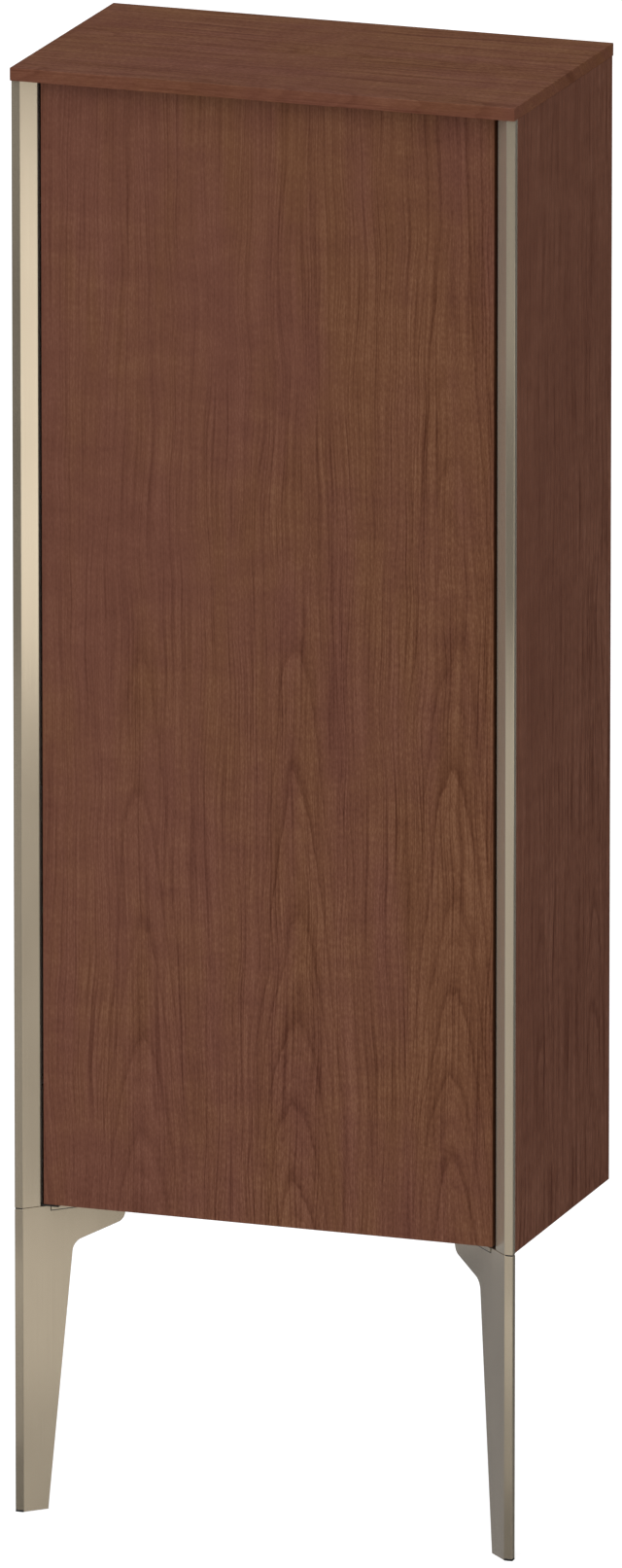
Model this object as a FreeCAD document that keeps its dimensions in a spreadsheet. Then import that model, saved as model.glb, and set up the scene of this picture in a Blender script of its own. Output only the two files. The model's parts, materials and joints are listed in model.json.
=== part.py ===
"""Bathroom cabinet that stands on two metal front legs and hangs on the wall at its back.

Lengths are millimetres. X runs to the right, Y towards the wall and Z up. The origin is on the floor,
in the middle of the cabinet's plan.
"""

import FreeCAD
import Part
import Sketcher
import os
from types import SimpleNamespace

SIZES = {
    # Carcass
    "cabinet_width": 500,
    "body_depth": 281.5,
    "body_height": 1098,
    "board_thickness": 16,
    "back_thickness": 8,
    "rear_void": 18,
    "groove_depth": 6,
    "groove_clearance": 0.2,
    "dowel_diameter": 8,
    "dowel_in_side": 10,
    "dowel_in_panel": 22,
    "dowel_front_inset": 35,
    "dowel_rear_inset": 35,
    # Cover
    "cover_thickness": 12.5,
    "cover_side_overhang": 0.5,
    "cover_front_overhang": 3,
    "cover_rear_overhang": 1.5,
    "cover_screw_side_inset": 70,
    "cover_screw_front_inset": 25,
    "cover_screw_rear_inset": 25,
    "cover_screw_bite": 9,
    # Corner profiles
    "profile_front_width": 8.4,
    "profile_side_depth": 7.5,
    "profile_bevel": 13,
    "profile_lip_depth": 6,
    "profile_flange_thickness": 2.5,
    "profile_flange_reach": 12,
    "profile_wall": 2,
    "profile_drop": 0.6,
    "profile_screw_bite": 10,
    "profile_screw_end_inset": 120,
    # Legs
    "leg_height": 300,
    "leg_plate_seam": 0.4,
    "leg_bar_step": 0.8,
    "leg_plate_thickness": 6,
    "leg_plate_reach": 107.5,
    "leg_tip_height": 22.9,
    "leg_tip_radius": 10.5,
    "leg_neck_reach": 53,
    "leg_neck_height": 38.7,
    "leg_neck_radius": 13,
    "leg_foot_reach": 26,
    "leg_floor_gap": 0.4,
    "leg_rim_start": 29.4,
    "leg_rim_end_inset": 3.5,
    "leg_rim_height": 4.4,
    "leg_rim_proud": 1,
    "leg_flange_start": 48,
    "leg_flange_end_inset": 3.5,
    "leg_flange_width": 28,
    "leg_flange_thickness": 4,
    "leg_screw_end_inset": 10,
    "leg_screw_bite": 12,
    "leg_spigot_height": 16,
    "leg_spigot_clearance": 0.2,
    "glide_thickness": 2,
    "glide_peg_diameter": 3,
    "glide_peg_height": 8,
    "glide_peg_inset": 2.7,
    # Shelves
    "shelf_thickness": 6,
    "shelf_side_clearance": 1,
    "shelf_front_inset": 10,
    "shelf_rear_inset": 5,
    "shelf_hole_pitch": 32,
    "support_pin_diameter": 5,
    "support_pin_depth": 9,
    "support_hole_extra": 1,
    "support_tab_length": 9,
    "support_tab_width": 12,
    "support_tab_thickness": 3,
    "support_front_inset": 40,
    "support_rear_inset": 25,
    # Door
    "door_thickness": 19,
    "door_recess": 12.4,
    "door_side_gap": 3.3,
    "door_bottom_gap": 2,
    "door_top_gap": 2.5,
    "door_swing_gap": 3.2,
    # Pivot hinges
    "pivot_inset": 8.5,
    "pivot_setback": 6,
    "pin_diameter": 5,
    "pin_in_door": 18,
    "pin_clearance": 0.05,
    "bush_wall": 1.2,
    "bush_length": 20,
    "bush_flange_diameter": 10,
    "bush_flange_thickness": 0.5,
    "bush_end_clearance": 0.1,
    "tongue_thickness": 1.6,
    "tongue_front_margin": 4.5,
    "tongue_end_margin": 6,
    "bracket_thickness": 2,
    "bracket_height": 42,
    "bracket_lip_clearance": 0.5,
    "bracket_screw_pitch": 22,
    "bracket_screw_end_inset": 9,
    # Push latch
    "latch_side_inset": 45,
    "latch_front_inset": 1.4,
    "latch_length": 60,
    "latch_width": 14,
    "latch_height": 20,
    "latch_ear_width": 10,
    "latch_ear_thickness": 3,
    "latch_bore_depth": 52,
    "latch_screw_bite": 10,
    "plunger_diameter": 8,
    "plunger_length": 37,
    "plunger_clearance": 0.08,
    "plunger_strike_gap": 0.3,
    "spring_outer_diameter": 7,
    "spring_wire": 0.8,
    "spring_pitch": 2.4,
    "strike_width": 14,
    "strike_height": 30,
    "strike_thickness": 1,
    "strike_screw_pitch": 20,
    "strike_screw_bite": 12,
    "strike_head_diameter": 5,
    "strike_head_height": 1,
    # Hangers and wall plates
    "hook_drop": 59,
    "hook_sheet": 2.5,
    "hook_lip_height": 10,
    "hook_lip_reach": 9,
    "hook_clearance": 0.3,
    "hook_lead": 2,
    "hanger_width": 35,
    "hanger_drop": 20,
    "hanger_screw_pitch": 18,
    "hanger_screw_bite": 10,
    "wall_plate_width": 40,
    "wall_plate_drop": 55,
    "wall_plate_inset": 5,
    "wall_hole_diameter": 7,
    "wall_hole_drop": 40,
    # Fasteners
    "screw_diameter": 3.5,
    "screw_head_diameter": 6.5,
    "screw_head_height": 1.6,
    "fastener_clearance": 0.1,
}

SHELF_NAMES = ("lower", "middle", "upper")
SHELF_HOLE_STEPS = (-1, 0, 1)
PROFILE_SCREWS = 4
TURN = {
    "+X": FreeCAD.Rotation(FreeCAD.Vector(0, 1, 0), 90),
    "-X": FreeCAD.Rotation(FreeCAD.Vector(0, 1, 0), -90),
    "+Y": FreeCAD.Rotation(FreeCAD.Vector(1, 0, 0), -90),
    "-Y": FreeCAD.Rotation(FreeCAD.Vector(1, 0, 0), 90),
    "+Z": FreeCAD.Rotation(),
    "-Z": FreeCAD.Rotation(FreeCAD.Vector(1, 0, 0), 180),
}
OPPOSITE = {way: ("-" if way[0] == "+" else "+") + way[1] for way in TURN}

doc = FreeCAD.newDocument("bathroom_cabinet")
sheet = doc.addObject("Spreadsheet::Sheet", "sizes")
for row, (alias, number) in enumerate(SIZES.items(), start=1):
    sheet.set(f"A{row}", alias)
    sheet.set(f"B{row}", str(number))
    sheet.setAlias(f"B{row}", alias)
doc.recompute()


class Size:
    """A length as an expression over the sheet's cells, with its value at the present sizes."""

    def __init__(self, text, value):
        self.text = text
        self.value = value

    @staticmethod
    def of(other):
        return other if isinstance(other, Size) else Size(repr(other), other)

    def __add__(self, other):
        other = Size.of(other)
        return Size(f"({self.text} + {other.text})", self.value + other.value)

    def __sub__(self, other):
        other = Size.of(other)
        return Size(f"({self.text} - {other.text})", self.value - other.value)

    def __mul__(self, other):
        other = Size.of(other)
        return Size(f"({self.text} * {other.text})", self.value * other.value)

    def __truediv__(self, other):
        other = Size.of(other)
        return Size(f"({self.text} / {other.text})", self.value / other.value)

    def __neg__(self):
        return Size(f"(-1 * {self.text})", -self.value)


S = SimpleNamespace(**{alias: Size(f"sizes.{alias}", float(number)) for alias, number in SIZES.items()})
ZERO = Size("0", 0.0)
ROOT_TWO = Size("sqrt(2)", 2 ** 0.5)

pieces = []

# Planes that several pieces share
wall = (S.body_depth + S.cover_front_overhang + S.cover_rear_overhang) / 2
front = S.cover_front_overhang - wall
rear = front + S.body_depth
right = S.cabinet_width / 2
left = -right
inner_left = left + S.board_thickness
inner_right = right - S.board_thickness
inner_width = inner_right - inner_left
profile_bottom = S.leg_height + S.leg_plate_seam
body_bottom = profile_bottom + S.profile_drop
body_top = body_bottom + S.body_height
floor_inside = body_bottom + S.board_thickness
roof_inside = body_top - S.board_thickness
door_front = front + S.door_recess
door_back = door_front + S.door_thickness
door_bottom = body_bottom + S.door_bottom_gap
door_top = body_top - S.door_top_gap
door_left = left + S.profile_front_width + S.profile_bevel + S.door_side_gap
door_right = -door_left
panel_front = door_back + S.door_swing_gap
back_rear = rear - S.rear_void
back_front = back_rear - S.back_thickness
panel_depth = back_front - panel_front


def bind(thing, name, size):
    thing.setExpression(name, Size.of(size).text)


def place(thing, x, y, z, turn=None):
    """Put an object's own origin at a point, turned as asked."""
    if turn is not None:
        thing.Placement = FreeCAD.Placement(FreeCAD.Vector(), turn)
    bind(thing, "Placement.Base.x", x)
    bind(thing, "Placement.Base.y", y)
    bind(thing, "Placement.Base.z", z)
    return thing


def keep(piece, label):
    """Name a finished piece of the cabinet."""
    piece.Label = label
    pieces.append(piece)
    return piece


def box(name, low, extent):
    solid = doc.addObject("Part::Box", name)
    for side, size in zip(("Length", "Width", "Height"), extent):
        bind(solid, side, size)
    return place(solid, *low)


def rod(name, diameter, length, start, way):
    solid = doc.addObject("Part::Cylinder", name)
    bind(solid, "Radius", diameter / 2)
    bind(solid, "Height", length)
    return place(solid, *start, TURN[way])


def group(name, solids):
    compound = doc.addObject("Part::Compound", name)
    compound.Links = solids
    return compound


def join(name, solids):
    fused = doc.addObject("Part::MultiFuse", name)
    fused.Shapes = solids
    return fused


def cut(name, base, tools):
    result = doc.addObject("Part::Cut", name)
    result.Base = base
    result.Tool = group(f"{name}_cuts", tools)
    return result


def mirrored(source, label):
    """The right-hand twin of a left-hand piece."""
    twin = doc.addObject("Part::Mirroring", label)
    twin.Source = source
    twin.Normal = FreeCAD.Vector(1, 0, 0)
    return keep(twin, label)


def step(point, way, length):
    """The point that lies a length further along a row axis."""
    shift = length if way[0] == "+" else -length
    return tuple(at + shift if axis == way[1] else at for at, axis in zip(point, "XYZ"))


def screw(name, seat, way, length, diameter=None, head=None, height=None):
    """A screw driven along a row axis, with its head's underside on the seat."""
    head_height = height or S.screw_head_height
    shank = rod(f"{name}_shank", diameter or S.screw_diameter, length, seat, way)
    cap = rod(f"{name}_head", head or S.screw_head_diameter, head_height, seat, OPPOSITE[way])
    return join(name, [shank, cap])


def screw_hole(name, seat, way, length, diameter=None):
    """The hole for such a screw, a clearance wider and deeper."""
    width = (diameter or S.screw_diameter) + S.fastener_clearance * 2
    return rod(name, width, length + S.fastener_clearance, seat, way)


def body(label):
    return doc.addObject("PartDesign::Body", label)


def sketch(piece, name, role, offset):
    drawing = piece.newObject("Sketcher::SketchObject", name)
    plane = next(feature for feature in piece.Origin.OriginFeatures if feature.Role == role)
    drawing.AttachmentSupport = [(plane, "")]
    drawing.MapMode = "FlatFace"
    bind(drawing, "AttachmentOffset.Base.z", offset)
    return drawing


def dimension(drawing, kind, places, size):
    number = drawing.addConstraint(Sketcher.Constraint(kind, *places, size.value))
    bind(drawing, f"Constraints[{number}]", size)


def fix_point(drawing, geometry, point, across, along):
    """Hold a sketch point at its two distances from the sketch's origin."""
    for kind, size, axis in (("DistanceX", across, -2), ("DistanceY", along, -1)):
        if size.value == 0:
            drawing.addConstraint(Sketcher.Constraint("PointOnObject", geometry, point, axis))
        elif size.value > 0:
            dimension(drawing, kind, (-1, 1, geometry, point), size)
        else:
            dimension(drawing, kind, (geometry, point, -1, 1), -size)


def draw_loop(drawing, points):
    first = drawing.GeometryCount
    count = len(points)
    corners = [FreeCAD.Vector(across.value, along.value, 0) for across, along in points]
    for index, corner in enumerate(corners):
        drawing.addGeometry(Part.LineSegment(corner, corners[(index + 1) % count]), False)
    for index in range(count):
        following = first + (index + 1) % count
        drawing.addConstraint(Sketcher.Constraint("Coincident", first + index, 2, following, 1))
    for index, (across, along) in enumerate(points):
        fix_point(drawing, first + index, 1, across, along)


def draw_circle(drawing, across, along, diameter):
    centre = FreeCAD.Vector(across.value, along.value, 0)
    circle = Part.Circle(centre, FreeCAD.Vector(0, 0, 1), diameter.value / 2)
    index = drawing.addGeometry(circle, False)
    fix_point(drawing, index, 3, across, along)
    dimension(drawing, "Diameter", (index,), diameter)


def pad(piece, drawing, length, reverse=False):
    feature = piece.newObject("PartDesign::Pad", f"{drawing.Name}_pad")
    feature.Profile = drawing
    feature.Reversed = reverse
    bind(feature, "Length", length)
    doc.recompute()
    return feature


def pocket(piece, drawing, length, reverse=False):
    before = piece.Shape.Volume
    feature = piece.newObject("PartDesign::Pocket", f"{drawing.Name}_pocket")
    feature.Profile = drawing
    feature.Reversed = reverse
    bind(feature, "Length", length)
    doc.recompute()
    if not feature.Shape.Volume < before:
        raise ValueError(f"{feature.Name} removes nothing")
    return feature


def rectangle(low, high):
    return [(low[0], low[1]), (high[0], low[1]), (high[0], high[1]), (low[0], high[1])]


def prism(piece, name, role, offset, points, length, reverse=False):
    drawing = sketch(piece, name, role, offset)
    draw_loop(drawing, points)
    return pad(piece, drawing, length, reverse)


def round_edge(piece, base, radius, across, height):
    """Round the edge of a flat plate that stands square to it at a point of its outline."""
    for number, edge in enumerate(base.Shape.Edges, start=1):
        ends = [vertex.Point for vertex in edge.Vertexes]
        if all(abs(end.x - across.value) + abs(end.z - height.value) < 0.01 for end in ends):
            feature = piece.newObject("PartDesign::Fillet", f"{base.Name}_round")
            feature.Base = (base, [f"Edge{number}"])
            bind(feature, "Radius", radius)
            doc.recompute()
            return feature
    raise ValueError(f"no edge to round on {base.Name}")


# Sizes and places that more than one piece uses
bevel_back = S.profile_front_width - S.profile_wall * ROOT_TWO
dowel_rows = (panel_front + S.dowel_front_inset, back_front - S.dowel_rear_inset)
dowel_heights = (body_bottom + S.board_thickness / 2, body_top - S.board_thickness / 2)
flange_inside = inner_left + S.profile_flange_thickness
lip_end = front + S.profile_bevel + S.profile_lip_depth
flange_end = lip_end + S.profile_flange_reach
flange_middle = (lip_end + flange_end) / 2
profile_screw_step = (S.body_height - S.profile_screw_end_inset * 2) / (PROFILE_SCREWS - 1)
profile_screw_heights = [
    body_bottom + S.profile_screw_end_inset + profile_screw_step * index for index in range(PROFILE_SCREWS)
]
tongue_top_low = door_bottom - S.bush_flange_thickness - S.bush_end_clearance
tongue_low = tongue_top_low - S.tongue_thickness
tongue_bottom_high = door_top + S.bush_flange_thickness + S.bush_end_clearance
tongue_high = tongue_bottom_high + S.tongue_thickness
bracket_screw_heights = [
    tongue_low + S.bracket_screw_end_inset,
    tongue_low + S.bracket_screw_end_inset + S.bracket_screw_pitch,
    tongue_high - S.bracket_screw_end_inset - S.bracket_screw_pitch,
    tongue_high - S.bracket_screw_end_inset,
]
bracket_face = flange_inside + S.bracket_thickness
profile_screw_length = S.profile_flange_thickness + S.profile_screw_bite
bracket_screw_length = S.bracket_thickness + profile_screw_length
pivot_x = door_left + S.pivot_inset
pivot_y = door_front + S.pivot_setback
clear_height = roof_inside - floor_inside
shelf_step = (clear_height - S.shelf_thickness * len(SHELF_NAMES)) / (len(SHELF_NAMES) + 1)
shelf_bottoms = [
    floor_inside + shelf_step * (index + 1) + S.shelf_thickness * index for index in range(len(SHELF_NAMES))
]
support_rows = (panel_front + S.support_front_inset, back_front - S.support_rear_inset)
support_hole_diameter = S.support_pin_diameter + S.fastener_clearance * 2
hook_level = body_top - S.hook_drop
hook_front = wall - S.hook_lip_reach - S.hook_clearance - S.hook_sheet
hook_top = hook_level + S.hook_lip_height + S.hook_sheet
hanger_bottom = hook_level - S.hanger_drop
hanger_screw_y = (back_rear + hook_front) / 2
hanger_middle = (hanger_bottom + hook_top) / 2
hanger_screw_heights = [hanger_middle - S.hanger_screw_pitch / 2, hanger_middle + S.hanger_screw_pitch / 2]
hanger_screw_length = S.hook_sheet + S.hanger_screw_bite


def side_panels():
    """Boards with a bevelled front corner behind the profile, a groove for the back, and fastener holes."""
    depth = S.profile_side_depth
    section = [
        (ZERO, depth), (bevel_back + depth, depth), (S.board_thickness, S.board_thickness - bevel_back),
        (S.board_thickness, S.body_depth), (ZERO, S.body_depth),
    ]
    board = place(body("side_board"), left, front, body_bottom)
    prism(board, "side_section", "XY_Plane", ZERO, section, S.body_height)
    groove_low = (inner_left - S.groove_depth, back_front - S.groove_clearance, body_bottom)
    groove_width = S.back_thickness + S.groove_clearance * 2
    cuts = [box("back_groove", groove_low, (S.groove_depth, groove_width, S.body_height))]
    for y in dowel_rows:
        for z in dowel_heights:
            cuts.append(screw_hole("dowel_hole", (inner_left, y, z), "-X", S.dowel_in_side, S.dowel_diameter))
    for z in profile_screw_heights + bracket_screw_heights:
        cuts.append(screw_hole("flange_hole", (inner_left, flange_middle, z), "-X", S.profile_screw_bite))
    for z in hanger_screw_heights:
        cuts.append(screw_hole("hanger_hole", (inner_left, hanger_screw_y, z), "-X", S.hanger_screw_bite))
    hole_depth = S.support_pin_depth + S.support_hole_extra
    for bottom in shelf_bottoms:
        for steps in SHELF_HOLE_STEPS:
            z = bottom - S.support_tab_thickness / 2 + S.shelf_hole_pitch * steps
            for y in support_rows:
                cuts.append(rod("support_hole", support_hole_diameter, hole_depth, (inner_left, y, z), "-X"))
    panel = keep(cut("left_side_panel", board, cuts), "left_side_panel")
    mirrored(panel, "right_side_panel")


def level_panels():
    """Bottom and inner top boards between the sides, bored for the fasteners that enter them."""
    extent = (inner_width, panel_depth, S.board_thickness)
    for label, low, dowel_height in (
        ("bottom_panel", body_bottom, dowel_heights[0]),
        ("top_panel", roof_inside, dowel_heights[1]),
    ):
        cuts = []
        for y in dowel_rows:
            for x, way in ((inner_left, "+X"), (inner_right, "-X")):
                seat = (x, y, dowel_height)
                cuts.append(screw_hole("dowel_hole", seat, way, S.dowel_in_panel, S.dowel_diameter))
        if label == "bottom_panel":
            cuts += [screw_hole("leg_hole", seat, "+Z", S.leg_screw_bite) for seat in leg_screw_places()]
        else:
            cuts += [screw_hole("cover_hole", seat, "+Z", S.board_thickness) for seat in cover_screw_places()]
            bite = S.latch_screw_bite
            cuts += [screw_hole("latch_hole", seat, "+Z", bite) for seat in latch_screw_places()]
        board = box(f"{label}_board", (inner_left, panel_front, low), extent)
        keep(cut(label, board, cuts), label)


def back_panel():
    """Thin board held in the side panels' grooves."""
    tongue = S.groove_depth - S.groove_clearance
    low = (inner_left - tongue, back_front, body_bottom)
    keep(box("back_panel", low, (inner_width + tongue * 2, S.back_thickness, S.body_height)), "back_panel")


def carcass_dowels():
    dowels = []
    for y in dowel_rows:
        for z in dowel_heights:
            for x, way in ((inner_left - S.dowel_in_side, "+X"), (inner_right + S.dowel_in_side, "-X")):
                length = S.dowel_in_side + S.dowel_in_panel
                dowels.append(rod("dowel", S.dowel_diameter, length, (x, y, z), way))
    keep(group("carcass_dowels", dowels), "carcass_dowels")


def cover_screw_places():
    return [
        (x, y, roof_inside)
        for x in (inner_left + S.cover_screw_side_inset, inner_right - S.cover_screw_side_inset)
        for y in (panel_front + S.cover_screw_front_inset, back_front - S.cover_screw_rear_inset)
    ]


def cover():
    """Cover board over the whole body, screwed on from inside."""
    low = (left - S.cover_side_overhang, front - S.cover_front_overhang, body_top)
    extent = (S.cabinet_width + S.cover_side_overhang * 2, wall * 2, S.cover_thickness)
    seats = [(x, y, body_top) for x, y, _ in cover_screw_places()]
    holes = [screw_hole("cover_hole", seat, "+Z", S.cover_screw_bite) for seat in seats]
    keep(cut("cover_panel", box("cover_board", low, extent), holes), "cover_panel")
    length = S.board_thickness + S.cover_screw_bite
    screws = [screw("cover_screw", seat, "+Z", length) for seat in cover_screw_places()]
    keep(group("cover_screws", screws), "cover_screws")


def corner_profiles():
    """Hollow metal corner: a narrow front face, a bevel to the door, and a flange inside the side panel."""
    width = S.profile_front_width
    depth = S.profile_side_depth
    wall_size = S.profile_wall
    nose = width + S.profile_bevel
    lip = S.profile_bevel + S.profile_lip_depth
    flange = S.board_thickness + S.profile_flange_thickness
    end = lip + S.profile_flange_reach
    outline = [
        (ZERO, ZERO), (width, ZERO), (nose, S.profile_bevel), (nose, lip), (flange, lip), (flange, end),
        (S.board_thickness, end), (S.board_thickness, S.board_thickness - bevel_back),
        (bevel_back + depth, depth), (ZERO, depth),
    ]
    chamber = [
        (wall_size, wall_size), (bevel_back + wall_size, wall_size),
        (bevel_back + depth - wall_size, depth - wall_size), (wall_size, depth - wall_size),
    ]
    profile = place(body("left_corner_profile"), left, front, profile_bottom)
    section = sketch(profile, "profile_section", "XY_Plane", ZERO)
    draw_loop(section, outline)
    draw_loop(section, chamber)
    pad(profile, section, body_top - profile_bottom)
    holes = sketch(profile, "profile_holes", "YZ_Plane", S.board_thickness)
    diameter = S.screw_diameter + S.fastener_clearance * 2
    for z in profile_screw_heights + bracket_screw_heights:
        draw_circle(holes, flange_middle - front, z - profile_bottom, diameter)
    pocket(profile, holes, S.profile_flange_thickness, reverse=True)
    keep(profile, "left_corner_profile")
    mirrored(profile, "right_corner_profile")
    seats = [(flange_inside, flange_middle, z) for z in profile_screw_heights]
    screws = [screw("profile_screw", seat, "-X", profile_screw_length) for seat in seats]
    screws = keep(group("left_profile_screws", screws), "left_profile_screws")
    mirrored(screws, "right_profile_screws")


def leg_point(across, deep):
    """A point of the corner's plan, given from its outer side and front, in the leg plate's own axes."""
    inward = across - S.profile_front_width
    return ((inward + deep) / ROOT_TWO, (deep - inward) / ROOT_TWO)


def leg_place(along, behind):
    """The place in the cabinet of a point given in the left leg plate's own axes."""
    x = left + S.profile_front_width + (along - behind) / ROOT_TWO
    return (x, front + (along + behind) / ROOT_TWO)


flange_end_along = S.leg_plate_reach - S.leg_flange_end_inset
leg_screw_behind = S.leg_plate_thickness + S.leg_flange_width / 2
leg_screws_along = (S.leg_flange_start + S.leg_screw_end_inset, flange_end_along - S.leg_screw_end_inset)


def leg_screw_places():
    places = [leg_place(along, leg_screw_behind) for along in leg_screws_along]
    return [(x, y, body_bottom) for x, y in places] + [(-x, y, body_bottom) for x, y in places]


def leg_corner_section():
    """Plan of the leg's outer corner, from the front face round to the back of the plate."""
    thickness = S.leg_plate_thickness
    behind = S.profile_front_width + S.profile_side_depth - thickness * ROOT_TWO
    return [
        leg_point(ZERO, ZERO), (ZERO, ZERO), (ZERO, thickness),
        leg_point(behind, S.profile_side_depth), leg_point(ZERO, S.profile_side_depth),
    ]


def glide_peg_centre():
    return leg_point(S.glide_peg_inset, S.profile_side_depth / 2)


def leg_body(label):
    """A body in the left leg plate's own axes: along the plate, behind it, and up."""
    turn = FreeCAD.Rotation(FreeCAD.Vector(0, 0, 1), 45)
    return place(body(label), left + S.profile_front_width, front, ZERO, turn)


def legs():
    """Cast legs: a corner bar and a diagonal plate that tapers to the floor, with a flange for its screws."""
    leg = leg_body("left_leg")
    height = S.leg_height
    reach = S.leg_plate_reach
    neck = (S.leg_neck_reach, height - S.leg_neck_height)
    tip = (reach, height - S.leg_tip_height)
    outline = [
        (ZERO, S.leg_floor_gap), (S.leg_foot_reach, S.leg_floor_gap), neck, tip,
        (reach, height), (ZERO, height),
    ]
    plate = prism(leg, "leg_plate", "XZ_Plane", ZERO, outline, S.leg_plate_thickness, reverse=True)
    plate = round_edge(leg, plate, S.leg_neck_radius, *neck)
    round_edge(leg, plate, S.leg_tip_radius, *tip)
    bar_height = height - S.leg_bar_step - S.glide_thickness
    prism(leg, "leg_bar", "XY_Plane", S.glide_thickness, leg_corner_section(), bar_height)
    rim = rectangle((S.leg_rim_start, -S.leg_rim_proud), (reach - S.leg_rim_end_inset, ZERO))
    prism(leg, "leg_rim", "XY_Plane", height - S.leg_rim_height, rim, S.leg_rim_height)
    flange_low = (S.leg_flange_start, S.leg_plate_thickness)
    flange_high = (flange_end_along, S.leg_plate_thickness + S.leg_flange_width)
    flange_bottom = body_bottom - S.leg_flange_thickness
    flange = rectangle(flange_low, flange_high)
    prism(leg, "leg_flange", "XY_Plane", flange_bottom, flange, S.leg_flange_thickness)
    near = S.profile_wall + S.leg_spigot_clearance
    far = S.profile_front_width - near
    deep = S.profile_side_depth - near
    spigot = [leg_point(near, near), leg_point(far, near), leg_point(far, deep), leg_point(near, deep)]
    prism(leg, "leg_spigot", "XY_Plane", height - S.leg_bar_step, spigot, S.leg_spigot_height)
    peg_hole = sketch(leg, "peg_hole", "XY_Plane", S.glide_thickness)
    draw_circle(peg_hole, *glide_peg_centre(), S.glide_peg_diameter + S.fastener_clearance * 2)
    pocket(leg, peg_hole, S.glide_peg_height + S.fastener_clearance, reverse=True)
    screw_holes = sketch(leg, "leg_screw_holes", "XY_Plane", flange_bottom)
    for along in leg_screws_along:
        draw_circle(screw_holes, along, leg_screw_behind, S.screw_diameter + S.fastener_clearance * 2)
    pocket(leg, screw_holes, S.leg_flange_thickness, reverse=True)
    keep(leg, "left_leg")
    mirrored(leg, "right_leg")
    seats = [(x, y, flange_bottom) for x, y, _ in leg_screw_places()[:len(leg_screws_along)]]
    length = S.leg_flange_thickness + S.leg_screw_bite
    screws = [screw("leg_screw", seat, "+Z", length) for seat in seats]
    screws = keep(group("left_leg_screws", screws), "left_leg_screws")
    mirrored(screws, "right_leg_screws")


def foot_glides():
    """Pads under the leg corners, each with a peg up into the bar."""
    glide = leg_body("left_foot_glide")
    prism(glide, "glide_pad", "XY_Plane", ZERO, leg_corner_section(), S.glide_thickness)
    peg = sketch(glide, "glide_peg", "XY_Plane", S.glide_thickness)
    draw_circle(peg, *glide_peg_centre(), S.glide_peg_diameter)
    pad(glide, peg, S.glide_peg_height)
    keep(glide, "left_foot_glide")
    mirrored(glide, "right_foot_glide")


def shelves():
    """Glass shelves, each lying on the tabs of four plug-in supports."""
    tab_extent = (S.support_tab_length, S.support_tab_width, S.support_tab_thickness)
    low_x = inner_left + S.shelf_side_clearance
    low_y = panel_front + S.shelf_front_inset
    depth = panel_depth - S.shelf_front_inset - S.shelf_rear_inset
    for name, bottom in zip(SHELF_NAMES, shelf_bottoms):
        extent = (inner_width - S.shelf_side_clearance * 2, depth, S.shelf_thickness)
        keep(box(f"{name}_shelf", (low_x, low_y, bottom), extent), f"{name}_shelf")
        tab_bottom = bottom - S.support_tab_thickness
        pin_height = bottom - S.support_tab_thickness / 2
        supports = []
        for y in support_rows:
            tab_y = y - S.support_tab_width / 2
            for tab_x, pin_x, way in (
                (inner_left, inner_left, "-X"),
                (inner_right - S.support_tab_length, inner_right, "+X"),
            ):
                tab = box("support_tab", (tab_x, tab_y, tab_bottom), tab_extent)
                pin_root = (pin_x, y, pin_height)
                pin = rod("support_pin", S.support_pin_diameter, S.support_pin_depth, pin_root, way)
                supports.append(join("support", [tab, pin]))
        keep(group(f"{name}_shelf_supports", supports), f"{name}_shelf_supports")


def strike_screw_places():
    x = inner_right - S.latch_side_inset
    middle = roof_inside - S.latch_height / 2
    return [(x, door_back + S.strike_thickness, middle + S.strike_screw_pitch / 2 * sign) for sign in (-1, 1)]


def door():
    """Handleless veneered door, bored at its top and bottom edges for the pivot bushes."""
    low = (door_left, door_front, door_bottom)
    extent = (door_right - door_left, S.door_thickness, door_top - door_bottom)
    bush_hole = S.pin_diameter + (S.pin_clearance + S.bush_wall) * 2
    cuts = [
        rod("lower_bush_hole", bush_hole, S.bush_length, (pivot_x, pivot_y, door_bottom), "+Z"),
        rod("upper_bush_hole", bush_hole, S.bush_length, (pivot_x, pivot_y, door_top), "-Z"),
    ]
    for x, _, z in strike_screw_places():
        cuts.append(screw_hole("strike_hole", (x, door_back, z), "-Y", S.strike_screw_bite))
    keep(cut("door_panel", box("door_board", low, extent), cuts), "door_panel")


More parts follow.
